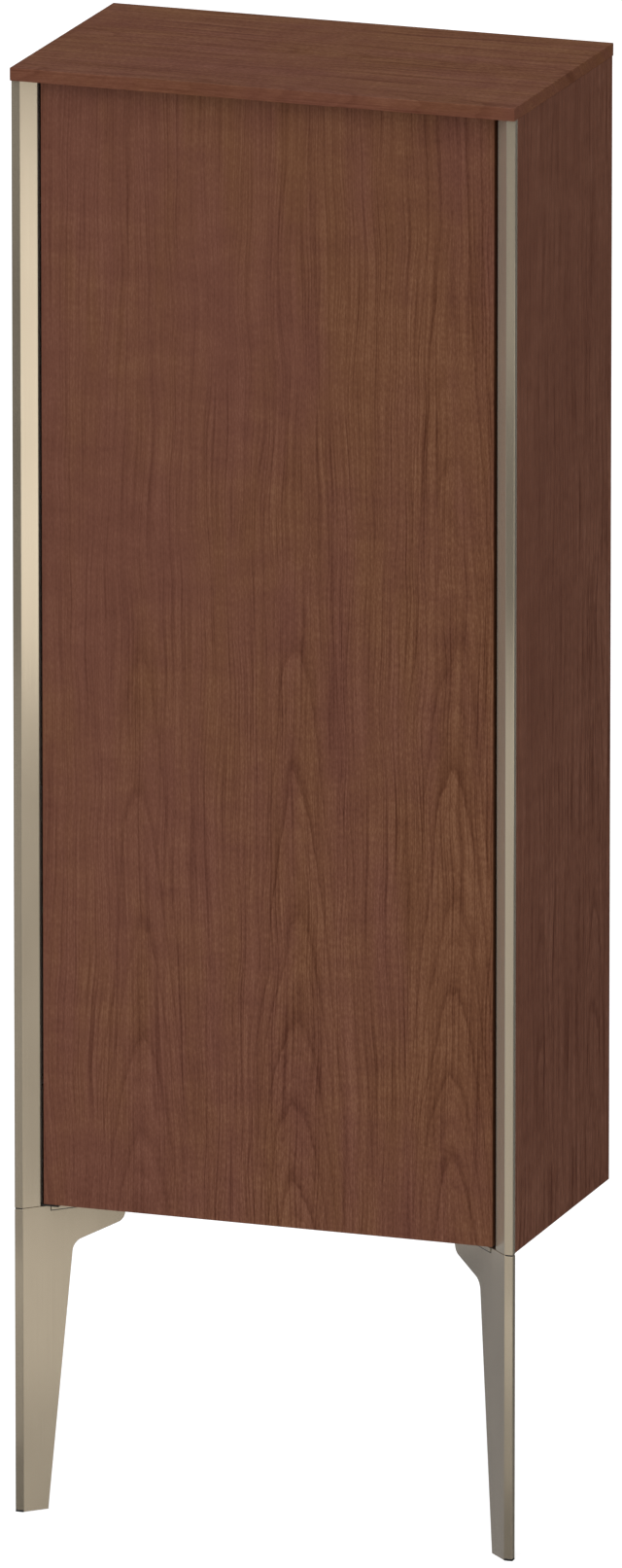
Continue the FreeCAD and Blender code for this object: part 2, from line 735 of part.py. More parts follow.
def pivot_hinges():
    """Pivots at the door's bottom and top edges: bracket and pin on the cabinet, bush in the door."""
    bush_outer = S.pin_diameter + (S.pin_clearance + S.bush_wall) * 2
    bush_bore = S.pin_diameter + S.pin_clearance * 2
    pin_hole = S.pin_diameter + S.pin_clearance * 2
    lip_face = left + S.profile_front_width + S.profile_bevel
    tongue_x = lip_face + S.bracket_lip_clearance
    cheek_front = lip_end + S.bracket_lip_clearance
    tongue_front = pivot_y - S.tongue_front_margin
    tongue_end = pivot_x + S.tongue_end_margin
    cheek_extent = (S.bracket_thickness, flange_end - cheek_front, S.bracket_height)
    link_extent = (tongue_end - flange_inside, flange_end - cheek_front, S.tongue_thickness)
    tongue_extent = (tongue_end - tongue_x, flange_end - tongue_front, S.tongue_thickness)
    bracket_screws = []
    for name, tongue_z, cheek_z, edge, way, start, heights in (
        ("lower", tongue_low, tongue_low, door_bottom, "+Z", tongue_low, bracket_screw_heights[:2]),
        ("upper", tongue_bottom_high, tongue_high - S.bracket_height, door_top, "-Z", tongue_high,
         bracket_screw_heights[2:]),
    ):
        cheek = box(f"{name}_cheek", (flange_inside, cheek_front, cheek_z), cheek_extent)
        link = box(f"{name}_link", (flange_inside, cheek_front, tongue_z), link_extent)
        tongue = box(f"{name}_tongue", (tongue_x, tongue_front, tongue_z), tongue_extent)
        bracket = join(f"{name}_bracket_blank", [cheek, link, tongue])
        holes = [rod(f"{name}_pin_hole", pin_hole, S.tongue_thickness, (pivot_x, pivot_y, start), way)]
        for z in heights:
            seat = (bracket_face, flange_middle, z)
            holes.append(screw_hole("bracket_hole", seat, "-X", S.bracket_thickness))
            bracket_screws.append(screw("bracket_screw", seat, "-X", bracket_screw_length))
        label = f"{name}_pivot_bracket"
        keep(cut(label, bracket, holes), label)
        pin_length = S.tongue_thickness + S.bush_end_clearance + S.bush_flange_thickness + S.pin_in_door
        pin = rod(f"{name}_pivot_pin", S.pin_diameter, pin_length, (pivot_x, pivot_y, start), way)
        keep(pin, f"{name}_pivot_pin")
        at_edge = (pivot_x, pivot_y, edge)
        sleeve = rod(f"{name}_sleeve", bush_outer, S.bush_length, at_edge, way)
        out = OPPOSITE[way]
        collar = rod(f"{name}_collar", S.bush_flange_diameter, S.bush_flange_thickness, at_edge, out)
        outside = step(at_edge, out, S.bush_flange_thickness)
        bore_length = S.bush_flange_thickness + S.bush_length
        bore = rod(f"{name}_bore", bush_bore, bore_length, outside, way)
        blank = join(f"{name}_bush_blank", [sleeve, collar])
        keep(cut(f"{name}_pivot_bush", blank, [bore]), f"{name}_pivot_bush")
    keep(group("bracket_screws", bracket_screws), "bracket_screws")


latch_x = inner_right - S.latch_side_inset
latch_front = panel_front + S.latch_front_inset
latch_axis_z = roof_inside - S.latch_height / 2
strike_face = door_back + S.strike_thickness
plunger_tip = strike_face + S.plunger_strike_gap
latch_ear_offset = (S.latch_width + S.latch_ear_width) / 2


def latch_screw_places():
    y = latch_front + S.latch_length / 2
    return [(latch_x + latch_ear_offset * sign, y, roof_inside) for sign in (-1, 1)]


def push_latch():
    """Push latch under the inner top board: sprung plunger in a bored housing, and a strike on the door."""
    low = (latch_x - S.latch_width / 2, latch_front, roof_inside - S.latch_height)
    case = box("latch_case", low, (S.latch_width, S.latch_length, S.latch_height))
    ear_x = latch_x - S.latch_width / 2 - S.latch_ear_width
    ear_low = (ear_x, latch_front, roof_inside - S.latch_ear_thickness)
    ear_extent = (S.latch_width + S.latch_ear_width * 2, S.latch_length, S.latch_ear_thickness)
    blank = join("latch_blank", [case, box("latch_ears", ear_low, ear_extent)])
    mouth = (latch_x, latch_front, latch_axis_z)
    bore_diameter = S.plunger_diameter + S.plunger_clearance * 2
    cuts = [rod("latch_bore", bore_diameter, S.latch_bore_depth, mouth, "+Y")]
    seats = [(x, y, roof_inside - S.latch_ear_thickness) for x, y, _ in latch_screw_places()]
    for seat in seats:
        cuts.append(screw_hole("ear_hole", seat, "+Z", S.latch_ear_thickness))
    keep(cut("latch_housing", blank, cuts), "latch_housing")
    length = S.latch_ear_thickness + S.latch_screw_bite
    keep(group("latch_screws", [screw("latch_screw", seat, "+Z", length) for seat in seats]), "latch_screws")
    tip = (latch_x, plunger_tip, latch_axis_z)
    keep(rod("latch_plunger", S.plunger_diameter, S.plunger_length, tip, "+Y"), "latch_plunger")
    latch_spring()
    strike_low = (latch_x - S.strike_width / 2, door_back, latch_axis_z - S.strike_height / 2)
    strike_extent = (S.strike_width, S.strike_thickness, S.strike_height)
    strike_blank = box("strike_blank", strike_low, strike_extent)
    holes = []
    screws = []
    for seat in strike_screw_places():
        holes.append(screw_hole("strike_plate_hole", seat, "-Y", S.strike_thickness))
        screws.append(screw(
            "strike_screw", seat, "-Y", S.strike_thickness + S.strike_screw_bite,
            head=S.strike_head_diameter, height=S.strike_head_height,
        ))
    keep(cut("strike_plate", strike_blank, holes), "strike_plate")
    keep(group("strike_screws", screws), "strike_screws")


def latch_spring():
    """Coil between the plunger's rear end and the bottom of the housing's bore."""
    spring = body("latch_spring")
    section = sketch(spring, "spring_section", "XZ_Plane", ZERO)
    draw_circle(section, (S.spring_outer_diameter - S.spring_wire) / 2, S.spring_wire / 2, S.spring_wire)
    coil = spring.newObject("PartDesign::AdditiveHelix", "spring_coil")
    coil.Profile = section
    coil.ReferenceAxis = (section, ["V_Axis"])
    coil.Mode = "pitch-height-angle"
    start = plunger_tip + S.plunger_length
    bind(coil, "Pitch", S.spring_pitch)
    bind(coil, "Height", latch_front + S.latch_bore_depth - start - S.spring_wire)
    place(spring, latch_x, start, latch_axis_z, TURN["+Y"])
    doc.recompute()
    keep(spring, "latch_spring")


def hangers():
    """Hooks on the side panels that drop over the lips of plates screwed to the wall."""
    sheet_size = S.hook_sheet
    lip_front = wall - S.hook_lip_reach
    tongue_front = lip_front + sheet_size + S.hook_clearance
    lip_top = hook_level + S.hook_lip_height
    hook_section = [
        (hook_front, hanger_bottom), (hook_front + sheet_size, hanger_bottom),
        (hook_front + sheet_size, lip_top), (tongue_front, lip_top),
        (tongue_front, hook_level + S.hook_lead), (tongue_front + sheet_size, hook_level + S.hook_lead),
        (tongue_front + sheet_size, hook_top), (hook_front, hook_top),
    ]
    hanger = place(body("left_hanger"), inner_left, ZERO, ZERO)
    prism(hanger, "hook", "YZ_Plane", ZERO, hook_section, S.hanger_width)
    cheek = rectangle((back_rear, hanger_bottom), (hook_front + sheet_size, hook_top))
    prism(hanger, "cheek", "YZ_Plane", ZERO, cheek, sheet_size)
    holes = sketch(hanger, "cheek_holes", "YZ_Plane", ZERO)
    for z in hanger_screw_heights:
        draw_circle(holes, hanger_screw_y, z, S.screw_diameter + S.fastener_clearance * 2)
    pocket(hanger, holes, sheet_size, reverse=True)
    keep(hanger, "left_hanger")
    mirrored(hanger, "right_hanger")
    screws = []
    for sign, x, way in ((1, inner_left, "-X"), (-1, inner_right, "+X")):
        for z in hanger_screw_heights:
            seat = (x + sheet_size * sign, hanger_screw_y, z)
            screws.append(screw("hanger_screw", seat, way, hanger_screw_length))
    keep(group("hanger_screws", screws), "hanger_screws")
    plate_front = wall - sheet_size
    plate_bottom = hook_level - S.wall_plate_drop
    plate_section = [
        (wall, plate_bottom), (wall, hook_level),
        (lip_front + sheet_size, hook_level), (lip_front + sheet_size, lip_top),
        (lip_front, lip_top), (lip_front, hook_level - sheet_size),
        (plate_front, hook_level - sheet_size), (plate_front, plate_bottom),
    ]
    plate = place(body("left_wall_plate"), inner_left + S.wall_plate_inset, ZERO, ZERO)
    prism(plate, "wall_plate_section", "YZ_Plane", ZERO, plate_section, S.wall_plate_width)
    hole = sketch(plate, "wall_hole", "XZ_Plane", -wall)
    draw_circle(hole, S.wall_plate_width / 2, hook_level - S.wall_hole_drop, S.wall_hole_diameter)
    pocket(plate, hole, sheet_size, reverse=True)
    keep(plate, "left_wall_plate")
    mirrored(plate, "right_wall_plate")


def build():
    side_panels()
    level_panels()
    back_panel()
    carcass_dowels()
    cover()
    corner_profiles()
    legs()
    foot_glides()
    shelves()
    door()
    pivot_hinges()
    push_latch()
    hangers()


def check():
    """Stop before anything is written if an object failed or a piece has no valid shape."""
    doc.recompute()
    for thing in doc.Objects:
        if "Invalid" in thing.State or "Error" in thing.State:
            raise ValueError(f"{thing.Label} failed: {thing.State}")
    for piece in pieces:
        if piece.Shape.isNull() or not piece.Shape.isValid() or not piece.Shape.Solids:
            raise ValueError(f"{piece.Label} has no valid shape")


def write():
    os.makedirs("parts", exist_ok=True)
    for piece in pieces:
        piece.Shape.exportStep(os.path.join("parts", f"{piece.Label}.step"))
        print(f"{piece.Label}: {len(piece.Shape.Solids)} solids, {piece.Shape.Volume / 1000:.2f} cm3")


build()
check()
write()
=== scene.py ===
"""Looks of the bathroom cabinet: finishes, small modelled details, light and camera around the frame."""

import bmesh
import bpy
import json
import math
from functools import cached_property
from mathutils import Matrix, Vector

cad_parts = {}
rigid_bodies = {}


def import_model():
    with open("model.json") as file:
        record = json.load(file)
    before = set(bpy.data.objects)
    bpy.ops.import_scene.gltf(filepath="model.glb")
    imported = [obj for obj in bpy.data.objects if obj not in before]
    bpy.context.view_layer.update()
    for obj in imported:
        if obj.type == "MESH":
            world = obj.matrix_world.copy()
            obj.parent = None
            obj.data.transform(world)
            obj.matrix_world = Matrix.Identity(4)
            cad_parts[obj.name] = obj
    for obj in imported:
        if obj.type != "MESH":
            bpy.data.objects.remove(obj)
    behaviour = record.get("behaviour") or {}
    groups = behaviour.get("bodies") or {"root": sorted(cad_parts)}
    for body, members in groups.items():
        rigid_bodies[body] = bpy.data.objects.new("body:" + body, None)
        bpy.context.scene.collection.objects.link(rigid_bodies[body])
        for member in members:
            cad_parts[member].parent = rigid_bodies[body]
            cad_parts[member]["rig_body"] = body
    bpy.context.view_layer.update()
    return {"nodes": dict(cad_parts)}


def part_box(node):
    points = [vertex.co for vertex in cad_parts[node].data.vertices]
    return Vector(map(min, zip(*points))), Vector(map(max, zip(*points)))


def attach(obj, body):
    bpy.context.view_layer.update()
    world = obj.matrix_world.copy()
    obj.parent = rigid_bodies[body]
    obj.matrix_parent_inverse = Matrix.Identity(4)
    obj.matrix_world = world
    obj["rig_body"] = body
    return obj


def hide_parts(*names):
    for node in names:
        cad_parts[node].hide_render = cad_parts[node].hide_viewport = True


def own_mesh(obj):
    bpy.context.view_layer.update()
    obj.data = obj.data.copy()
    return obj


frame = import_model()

MM = 0.001
HANDS = (("left", -1), ("right", 1))

# The photograph's view: angles in degrees, lens and sensor in millimetres, the rest in metres
CAMERA_AZIMUTH = 19.466
CAMERA_ELEVATION = 14.815
CAMERA_TARGET = Vector((-0.0012, 0.0, 0.7032))
CAMERA_DISTANCE = 24.227
CAMERA_REACH = 500.0
CAMERA_LENS = 587.7
CAMERA_SENSOR = 36.0

# Brightness of the surroundings: a level, and its slopes along X and Y
SKY_LEVEL = 0.53
SKY_SLOPE_X = -0.14
SKY_SLOPE_Y = -0.22
GROUND_LEVEL = 0.0159
GROUND_SLOPE_X = 0.1418
GROUND_SLOPE_Y = -0.0957
GROUND_CURVE_X = 0.3423
FRONT_SHADE = (-1.0, -0.6)
HORIZON = (-0.05, 0.15)
COOL_SIDE = (-0.95, -0.2)
COOL_LIGHT = (0.88, 0.97, 1.25, 1.0)
WHITE = (1.0, 1.0, 1.0, 1.0)

# Pale floor, and how much it shines by itself so that it shows as white
FLOOR_REACH = 150.0
FLOOR_GREY = (0.4, 0.4, 0.4, 1.0)
FLOOR_GLOW = 0.80

# Leaves and flames of the flat-cut veneer, in millimetres
LEAF_HALF = 78
CUT_DEPTH = 88
RING_WIDTH = 3.4
FIRST_FLAME = 990
FLAME_CORE = 12
FLAME_EDGE = 55
FLAME_DRIFT = 120
BEND_BY_DRIFT = 26
BEND_BY_WAVER = 5

# Year rings passed on the way down the flames, how they crowd lower down, and how they waver
RINGS_PER_MM = 0.00495
RINGS_CROWDING = 0.00000567
RING_WAVER = 0.35
RING_JAG = 0.2

# Dark lines of the late and the early wood, as shares of a ring, and their strengths
RING_END = 0.95
LATE_START = 0.60
LATE_STRENGTH = (0.3, 1.5)
EARLY_START = 0.45
EARLY_LINES = 3.0
EARLY_DRIFT = 2.0
FLANK_STRENGTH = 0.55

# Width across and length along the grain of the veneer's marks, in millimetres
DRIFT = (90, 260)
WAVER = (22, 150)
JAG = (5, 18)
STREAK = (6.5, 330)
BAND = (30, 240)
CLOUD = (140, 210)
FIBRE = (1.6, 190)
FLECK_WIDTH = 1.6
FLECK_LENGTH = 4.5
SHIMMER = (40, 22)
PORE = (0.8, 16)

# Strands lean to the dark and fade where streaks are light; pores are the highest of their noise
STRAND_LEAN = 0.35
STRAND_LIFT = 0.03
CALM_BY_STREAK = 1.6
CALM_RANGE = (-0.25, 0.3)
CALM_STRENGTH = (0.55, 1.25)
PORE_RANGE = (0.10, 0.24)

# Weights of the marks in the veneer's tone
STRAND_TONE = 0.86
STREAK_TONE = 0.38
FLECK_TONE = 0.50
SHIMMER_TONE = 0.26
CLOUD_TONE = 0.15
LATE_TONE = 0.16
EARLY_TONE = 0.08
PORE_TONE = 0.08
# Painted shade on a board's edges: the tone its face has over them where the edges share is below 1
EDGE_SHADE_TONE = 0.16
BASE_TONE = 0.37

# Weights of the marks in the veneer's warmth
BAND_WARMTH = 0.7
STREAK_WARMTH = 0.15
SHIMMER_WARMTH = 0.3
SIDE_WARMTH = 0.0008
WARMTH_RANGE = (-0.3, 0.3)

# Where a board grew wild, towards its lower right, in millimetres, and what that adds to its quiet part
WILD_ACROSS = 1.5
WILD_DOWN = 0.5
WILD_RANGE = (-750, -150)
QUIET_FLAMES = 0.35
WILD_FLAMES = 0.65
QUIET_STRANDS = 0.75
WILD_STRANDS = 0.5

# Squares of the depths, in millimetres, between which a face ends and an edge, with its painted shade,
# begins
FACE_RANGE = (0.02, 0.5)

# Display colours of the veneer from dark to light, and where they lie in its tone
RED_WOOD = ((74, 40, 29), (102, 64, 50), (126, 86, 71))
YELLOW_WOOD = ((73, 40, 23), (101, 65, 44), (126, 89, 65))
WOOD_STOPS = (0.1, 0.56, 0.95)

# Edges and faces of the frame's meshes
WELD = 0.001 * MM
FLAT_ANGLE = math.radians(1)
EDGE_ANGLE = math.radians(30)
SHARP_ANGLE = math.radians(35)

# Polished round edge of the glass shelves
SHELF_EDGE = 2.6 * MM
SHELF_EDGE_STEPS = 5

# Wood screws; the core's radius and the tip's length are shares of the shank's radius
SCREW_SIDES = 20
SCREW_TURN = math.radians(37)
SCREW_NECK = 1.2 * MM
SCREW_CORE = 0.72
TIP_LENGTH = 2.2
TIP_TAPER = 0.12

# Thread of the screws; the half width of its ridge is a share of the pitch
THREAD_PITCH = 1.6 * MM
THREAD_STEPS = 6
THREAD_RIDGE = 0.3

# Heights from the top and radii of a head's rings, as shares of the head's height and radius
HEAD_RINGS = ((-1.0, 0.94), (-0.93, 1.0), (-0.6, 1.0), (-0.3, 0.93), (-0.1, 0.8), (0.0, 0.64))

# Cross recess: depth as a share of the head's height, arms' reach and half width as shares of its radius
RECESS_DEPTH = 1.15
RECESS_ABOVE = 0.1 * MM
RECESS_FLOOR = (0.2, 0.08)
RECESS_MOUTH = (0.54, 0.13)

# What counts as the rim and the shank of a plain screw, by its largest radius and its head's height
HEAD_RIM = 0.95
BELOW_HEAD = 1.2

# Coil of the push latch, whose end turns lie close
COIL_WIRE = 0.8 * MM
COIL_GAP = 0.05 * MM
COIL_TURNS = 8.6
COIL_CLOSED_TURNS = 0.5
COIL_END_PITCH = 0.35
COIL_STEPS = 28
COIL_SIDES = 10

# Plunger of the push latch; radii are shares of its own
PLUNGER_SIDES = 40
NOSE = ((0.0, 0.62), (0.25 * MM, 0.78), (0.7 * MM, 0.91), (1.4 * MM, 0.98), (2.2 * MM, 1.0))
FLANK = 0.2 * MM
GROOVE_START = 3.6 * MM
GROOVE_LENGTH = 1.2 * MM
GROOVE_RADIUS = 0.88
WAIST_STARTS = (12 * MM, 20 * MM, 28 * MM)
WAIST_LENGTH = 6 * MM
WAIST_RADIUS = 0.94
REAR_EASE = 0.4 * MM
REAR_RADIUS = 0.9

# Dark plugs in the corners above the legs, which also stand in for the shade there
LEG_PLATE = 6 * MM
PLUG_GAP = 0.1 * MM
PLUG_REST = 1.6 * MM
PLUG_SHEET = 0.7 * MM
PLUG_ROUND = 0.8 * MM
PLUG_DEPTH = 4 * MM
CLIP_WALL = 1.2 * MM
CLIP_OVERLAP = 3 * MM
CLIP_ROUND = 0.3 * MM
ARC_STEPS = 4

# Dark strips in the seams between legs and profiles, which stand in for the seams' shadow
SEAM_SHADOW_INSET = 0.5 * MM
SEAM_SHADOW_HEIGHT = 1 * MM
SPIGOT_INSET = 2.2 * MM
PLATE_GAP = 0.3 * MM

# Dark strips under the raised rims of the legs: painted shadow lines of the gaps under the rims
SEAM = 0.4 * MM
RIM_START = 29.4 * MM
RIM_LENGTH = 74.6 * MM
RIM_HEIGHT = 4.4 * MM
RIM_SHADOW_GAP = 0.05 * MM
RIM_SHADOW_END = 0.35 * MM
RIM_SHADOW_HEIGHT = 0.8 * MM
RIM_SHADOW_PROUD = 0.35 * MM


def srgb(red, green, blue):
    """A display colour, 0 to 255, as the linear values that shaders take."""
    linear = []
    for level in (red, green, blue):
        share = level / 255
        linear.append(share / 12.92 if share <= 0.04045 else ((share + 0.055) / 1.055) ** 2.4)
    return (*linear, 1.0)


class Field:
    """A number that varies over a surface: a node output with arithmetic."""

    def __init__(self, nodes, socket):
        self.nodes = nodes
        self.socket = socket

    def __add__(self, other):
        return self.nodes.math("ADD", self, other)

    def __sub__(self, other):
        return self.nodes.math("SUBTRACT", self, other)

    def __mul__(self, other):
        return self.nodes.math("MULTIPLY", self, other)

    def __truediv__(self, other):
        return self.nodes.math("DIVIDE", self, other)

    def root(self):
        """The square root."""
        return self.nodes.math("SQRT", self)

    def fold(self, half):
        """Distance from the nearest of the lines that repeat at twice that half width."""
        return self.nodes.math("PINGPONG", self, half)

    def lean(self):
        """The same number with its low values deepened and its high ones held back."""
        return self - self.nodes.math("ABSOLUTE", self) * STRAND_LEAN + STRAND_LIFT

    def rise(self, low, high, bottom=0.0, top=1.0):
        """Smooth step from bottom to top between two levels."""
        ranges = {"Value": self, "From Min": low, "From Max": high, "To Min": bottom, "To Max": top}
        node = self.nodes.add("ShaderNodeMapRange", ranges, interpolation_type="SMOOTHSTEP")
        return Field(self.nodes, node.outputs["Result"])

    def swell(self, start):
        """Rises from a start within each ring and falls off sharply at the ring's end."""
        share = self.nodes.math("FRACT", self)
        return share.rise(start, RING_END) - share.rise(RING_END, 1.0)

    def chance(self):
        """A share by chance, 0 to 1, for the whole number below."""
        whole = self.nodes.math("FLOOR", self)
        node = self.nodes.add("ShaderNodeTexWhiteNoise", {"W": whole}, noise_dimensions="1D")
        return Field(self.nodes, node.outputs["Value"])


class Nodes:
    """Adds and links the nodes of one shader tree."""

    def __init__(self, tree):
        self.tree = tree
        tree.nodes.clear()

    def add(self, kind, inputs=None, **settings):
        """A new node of a kind, with its settings made and its inputs fed."""
        node = self.tree.nodes.new(kind)
        for key, value in settings.items():
            setattr(node, key, value)
        for key, value in (inputs or {}).items():
            self.feed(node.inputs[key], value)
        return node

    def feed(self, target, value):
        """Link an input to a field or an output, or set it to a plain value."""
        source = value.socket if isinstance(value, Field) else value
        if isinstance(source, bpy.types.NodeSocket):
            self.tree.links.new(source, target)
        else:
            target.default_value = source

    def math(self, operation, first, second=None):
        """One step of arithmetic on one or two numbers."""
        node = self.add("ShaderNodeMath", {0: first}, operation=operation)
        if second is not None:
            self.feed(node.inputs[1], second)
        return Field(self, node.outputs[0])

    def split(self, vector):
        """The three parts of a vector."""
        node = self.add("ShaderNodeSeparateXYZ", {"Vector": vector})
        return [Field(self, part) for part in node.outputs]

    def noise(self, x, y, z, detail=2.0):
        """Noise of unit scale about zero."""
        vector = self.add("ShaderNodeCombineXYZ", {"X": x, "Y": y, "Z": z}).outputs["Vector"]
        inputs = {"Vector": vector, "Scale": 1.0, "Detail": detail, "Roughness": 0.5}
        return Field(self, self.add("ShaderNodeTexNoise", inputs).outputs["Fac"]) - 0.5

    def ramp(self, tone, colours, stops=(0.2, 0.8)):
        """Colour that runs through display colours, which lie at the given stops of the tone."""
        node = self.add("ShaderNodeValToRGB", {"Fac": tone})
        elements = node.color_ramp.elements
        while len(elements) < len(stops):
            elements.new(0.5)
        for element, stop, colour in zip(elements, stops, colours):
            element.position = stop
            element.color = srgb(*colour)
        return node.outputs["Color"]

    def mix(self, share, first, second):
        """Colour that goes from the first to the second as the share rises."""
        node = self.add("ShaderNodeMix", data_type="RGBA")
        colours = [socket for socket in node.inputs if socket.type == "RGBA"]
        self.feed(node.inputs[0], share)
        self.feed(colours[0], first)
        self.feed(colours[1], second)
        return next(socket for socket in node.outputs if socket.type == "RGBA")


class Finish(Nodes):
    """One procedural material: a Principled surface and the nodes that feed it."""

    def __init__(self, name, **uniform):
        self.material = bpy.data.materials.new(name)
        self.material.use_nodes = True
        super().__init__(self.material.node_tree)
        self.surface = self.add("ShaderNodeBsdfPrincipled")
        self.add("ShaderNodeOutputMaterial", {"Surface": self.surface.outputs["BSDF"]})
        for socket, value in uniform.items():
            self.surface.inputs[socket.replace("_", " ")].default_value = value

    @cached_property
    def place(self):
        """The three coordinates of a point in the frame, in millimetres."""
        return [axis / MM for axis in self.split(self.add("ShaderNodeTexCoord").outputs["Object"])]

    def grains(self, *sizes, detail=2.0):
        """Noise of grains that have the given sizes along X, Y and Z, in millimetres."""
        return self.noise(*(axis / size for axis, size in zip(self.place, sizes)), detail=detail)

    def give(self, name, value):
        """Feed one of the surface's own inputs."""
        self.feed(self.surface.inputs[name], value)

    def bump(self, height, depth):
        """Raise the surface by a height that is given as a share of a depth in metres."""
        inputs = {"Height": height, "Distance": depth, "Strength": 1.0}
        self.give("Normal", self.add("ShaderNodeBump", inputs).outputs["Normal"])


class Leaf:
    """Coordinates of a veneered board in millimetres: along the grain, across it and down from its face."""

    def __init__(self, finish, grain, face, level, seed):
        place = dict(zip("XYZ", finish.place))
        (other,) = [axis for axis in "XYZ" if axis not in (grain, face)]
        self.finish = finish
        self.along = place[grain]
        self.deep = place[face] - level
        # With the depth in it the figure goes on around the board's edges
        self.side = place[other] + self.deep
        self.across = self.side + seed
        self.drift = self.marks(DRIFT)
        self.waver = self.marks(WAVER, detail=1.0)
        self.bend = self.drift * BEND_BY_DRIFT + self.waver * BEND_BY_WAVER

    def marks(self, size, detail=2.0, bend=0.0):
        """Noise of marks with the given width across and length along the grain."""
        width, length = size
        sideways = self.across + bend
        return self.finish.noise(sideways / width, self.along / length, self.deep / width, detail)

    def rings(self, offset, slip, growth):
        """Number of the year ring at each point; the rings nest as flames about the leaf's axis."""
        below = self.along * -1.0 + FIRST_FLAME + self.side * slip + self.drift * FLAME_DRIFT
        down = below * RINGS_PER_MM + below * below * RINGS_CROWDING
        out = ((offset * offset + CUT_DEPTH * CUT_DEPTH).root() - CUT_DEPTH) / RING_WIDTH
        return down - out + self.waver * RING_WAVER + self.marks(JAG) * RING_JAG + growth

    def flames(self, axis, slip, growth):
        """Dark lines of late and early wood, which fade from the flames' core to their flanks."""
        offset = (self.side - axis + self.bend).fold(LEAF_HALF)
        rings = self.rings(offset, slip, growth)
        late = rings.swell(LATE_START) * rings.chance().rise(0.0, 1.0, *LATE_STRENGTH)
        early = (rings * EARLY_LINES + self.drift * EARLY_DRIFT).swell(EARLY_START)
        flank = offset.rise(FLAME_CORE, FLAME_EDGE, 1.0, FLANK_STRENGTH)
        return (late * LATE_TONE + early * EARLY_TONE) * flank


def veneer(name, grain, face, level, leaf_axis, slip, seed, growth=0.0, flames=1.0, fibre=FIBRE, streaks=1.0,
           flecks=1.0, fleck_length=FLECK_LENGTH, blush=1.0, mellow=0.0, shade=0.0, gloss=0.06, edges=1.0):
    """Matt lacquered flat-cut veneer: flames about each leaf's axis, fibres, pores, flecks and shimmer, with
    painted light or shade over the whole board by shade and painted shade on its edges by edges.
    """
    finish = Finish(name, Specular_IOR_Level=gloss)
    leaf = Leaf(finish, grain, face, level, seed)
    streak = leaf.marks(STREAK, bend=leaf.bend)
    band = leaf.marks(BAND, detail=1.0)
    cloud = leaf.marks(CLOUD, detail=1.0)
    fleck = leaf.marks((FLECK_WIDTH, fleck_length))
    shimmer = leaf.marks(SHIMMER, detail=3.0)
    pore = leaf.marks(PORE, detail=1.0).rise(*PORE_RANGE)
    calm = (cloud - streak * CALM_BY_STREAK).rise(*CALM_RANGE, *CALM_STRENGTH)
    strand = leaf.marks(fibre, bend=leaf.bend).lean() * calm

    wild = (leaf.side * WILD_ACROSS - leaf.along * WILD_DOWN).rise(*WILD_RANGE)
    figure = leaf.flames(leaf_axis, slip, growth) * (wild * WILD_FLAMES + QUIET_FLAMES) * flames
    strands = (strand * STRAND_TONE + streak * STREAK_TONE) * streaks + fleck * (FLECK_TONE * flecks)
    # Painted shade: the edges are darker and their marks calmer than the face, by the share edges
    unshaded_face = (leaf.deep * leaf.deep).rise(*FACE_RANGE, 1.0, edges)
    fine = strands * (wild * WILD_STRANDS + QUIET_STRANDS) * unshaded_face - figure - pore * PORE_TONE
    broad = shimmer * SHIMMER_TONE + cloud * CLOUD_TONE + unshaded_face * EDGE_SHADE_TONE
    # shade paints light or shade over the whole board: lighter or darker than its wood is
    tone = fine + broad + (shade + BASE_TONE)

    hue = cloud + band * BAND_WARMTH + streak * STREAK_WARMTH + shimmer * SHIMMER_WARMTH
    warmth = ((hue + leaf.side * SIDE_WARMTH) * blush + mellow).rise(*WARMTH_RANGE)
    red = finish.ramp(tone, RED_WOOD, WOOD_STOPS)
    yellow = finish.ramp(tone, YELLOW_WOOD, WOOD_STOPS)
    finish.give("Base Color", finish.mix(warmth, red, yellow))
    finish.give("Roughness", strand * 0.16 + pore * 0.12 + 0.56)
    finish.bump(strand * 0.35 - pore, depth=0.06 * MM)
    return finish.material


def champagne_metal():
    """Satin anodised metal: fine blasted grain and faint drawing lines along the height."""
    finish = Finish("champagne_metal", Metallic=0.8, Sheen_Weight=0.1, Sheen_Roughness=0.5)
    blast = finish.grains(0.5, 0.5, 0.5)
    drawn = finish.grains(0.9, 0.9, 240)
    cloud = finish.grains(45, 45, 110)
    tone = drawn * 0.5 + cloud * 0.6 + blast * 0.25 + 0.5
    finish.give("Base Color", finish.ramp(tone, [(192, 177, 153), (206, 191, 166)]))
    finish.give("Roughness", blast * 0.08 + cloud * 0.06 + 0.24)
    finish.bump(blast * 0.6 + drawn * 0.4, depth=0.012 * MM)
    return finish.material


def board():
    """Carcass board faced with a dark matt linen-pressed melamine."""
    finish = Finish("carcass_board", Specular_IOR_Level=0.35)
    weft = finish.grains(6, 6, 0.8)
    warp = finish.grains(0.8, 0.8, 6)
    cloud = finish.grains(60, 60, 60, detail=3.0)
    tone = weft * 0.7 + warp * 0.7 + cloud * 0.4 + 0.5
    finish.give("Base Color", finish.ramp(tone, [(66, 58, 53), (92, 83, 76)]))
    finish.give("Roughness", cloud * 0.1 + 0.55)
    finish.bump(weft + warp, depth=0.05 * MM)
    return finish.material


def steel(name, dark, light):
    """Plated steel with faint rolling marks and passivation clouds."""
    finish = Finish(name, Metallic=0.8)
    rolled = finish.grains(0.6, 9, 0.6)
    cloud = finish.grains(7, 7, 7, detail=3.0)
    tone = rolled * 0.5 + cloud * 0.9 + 0.5
    finish.give("Base Color", finish.ramp(tone, [dark, light]))
    finish.give("Roughness", rolled * 0.15 + cloud * 0.12 + 0.32)
    finish.bump(rolled, depth=0.02 * MM)
    return finish.material


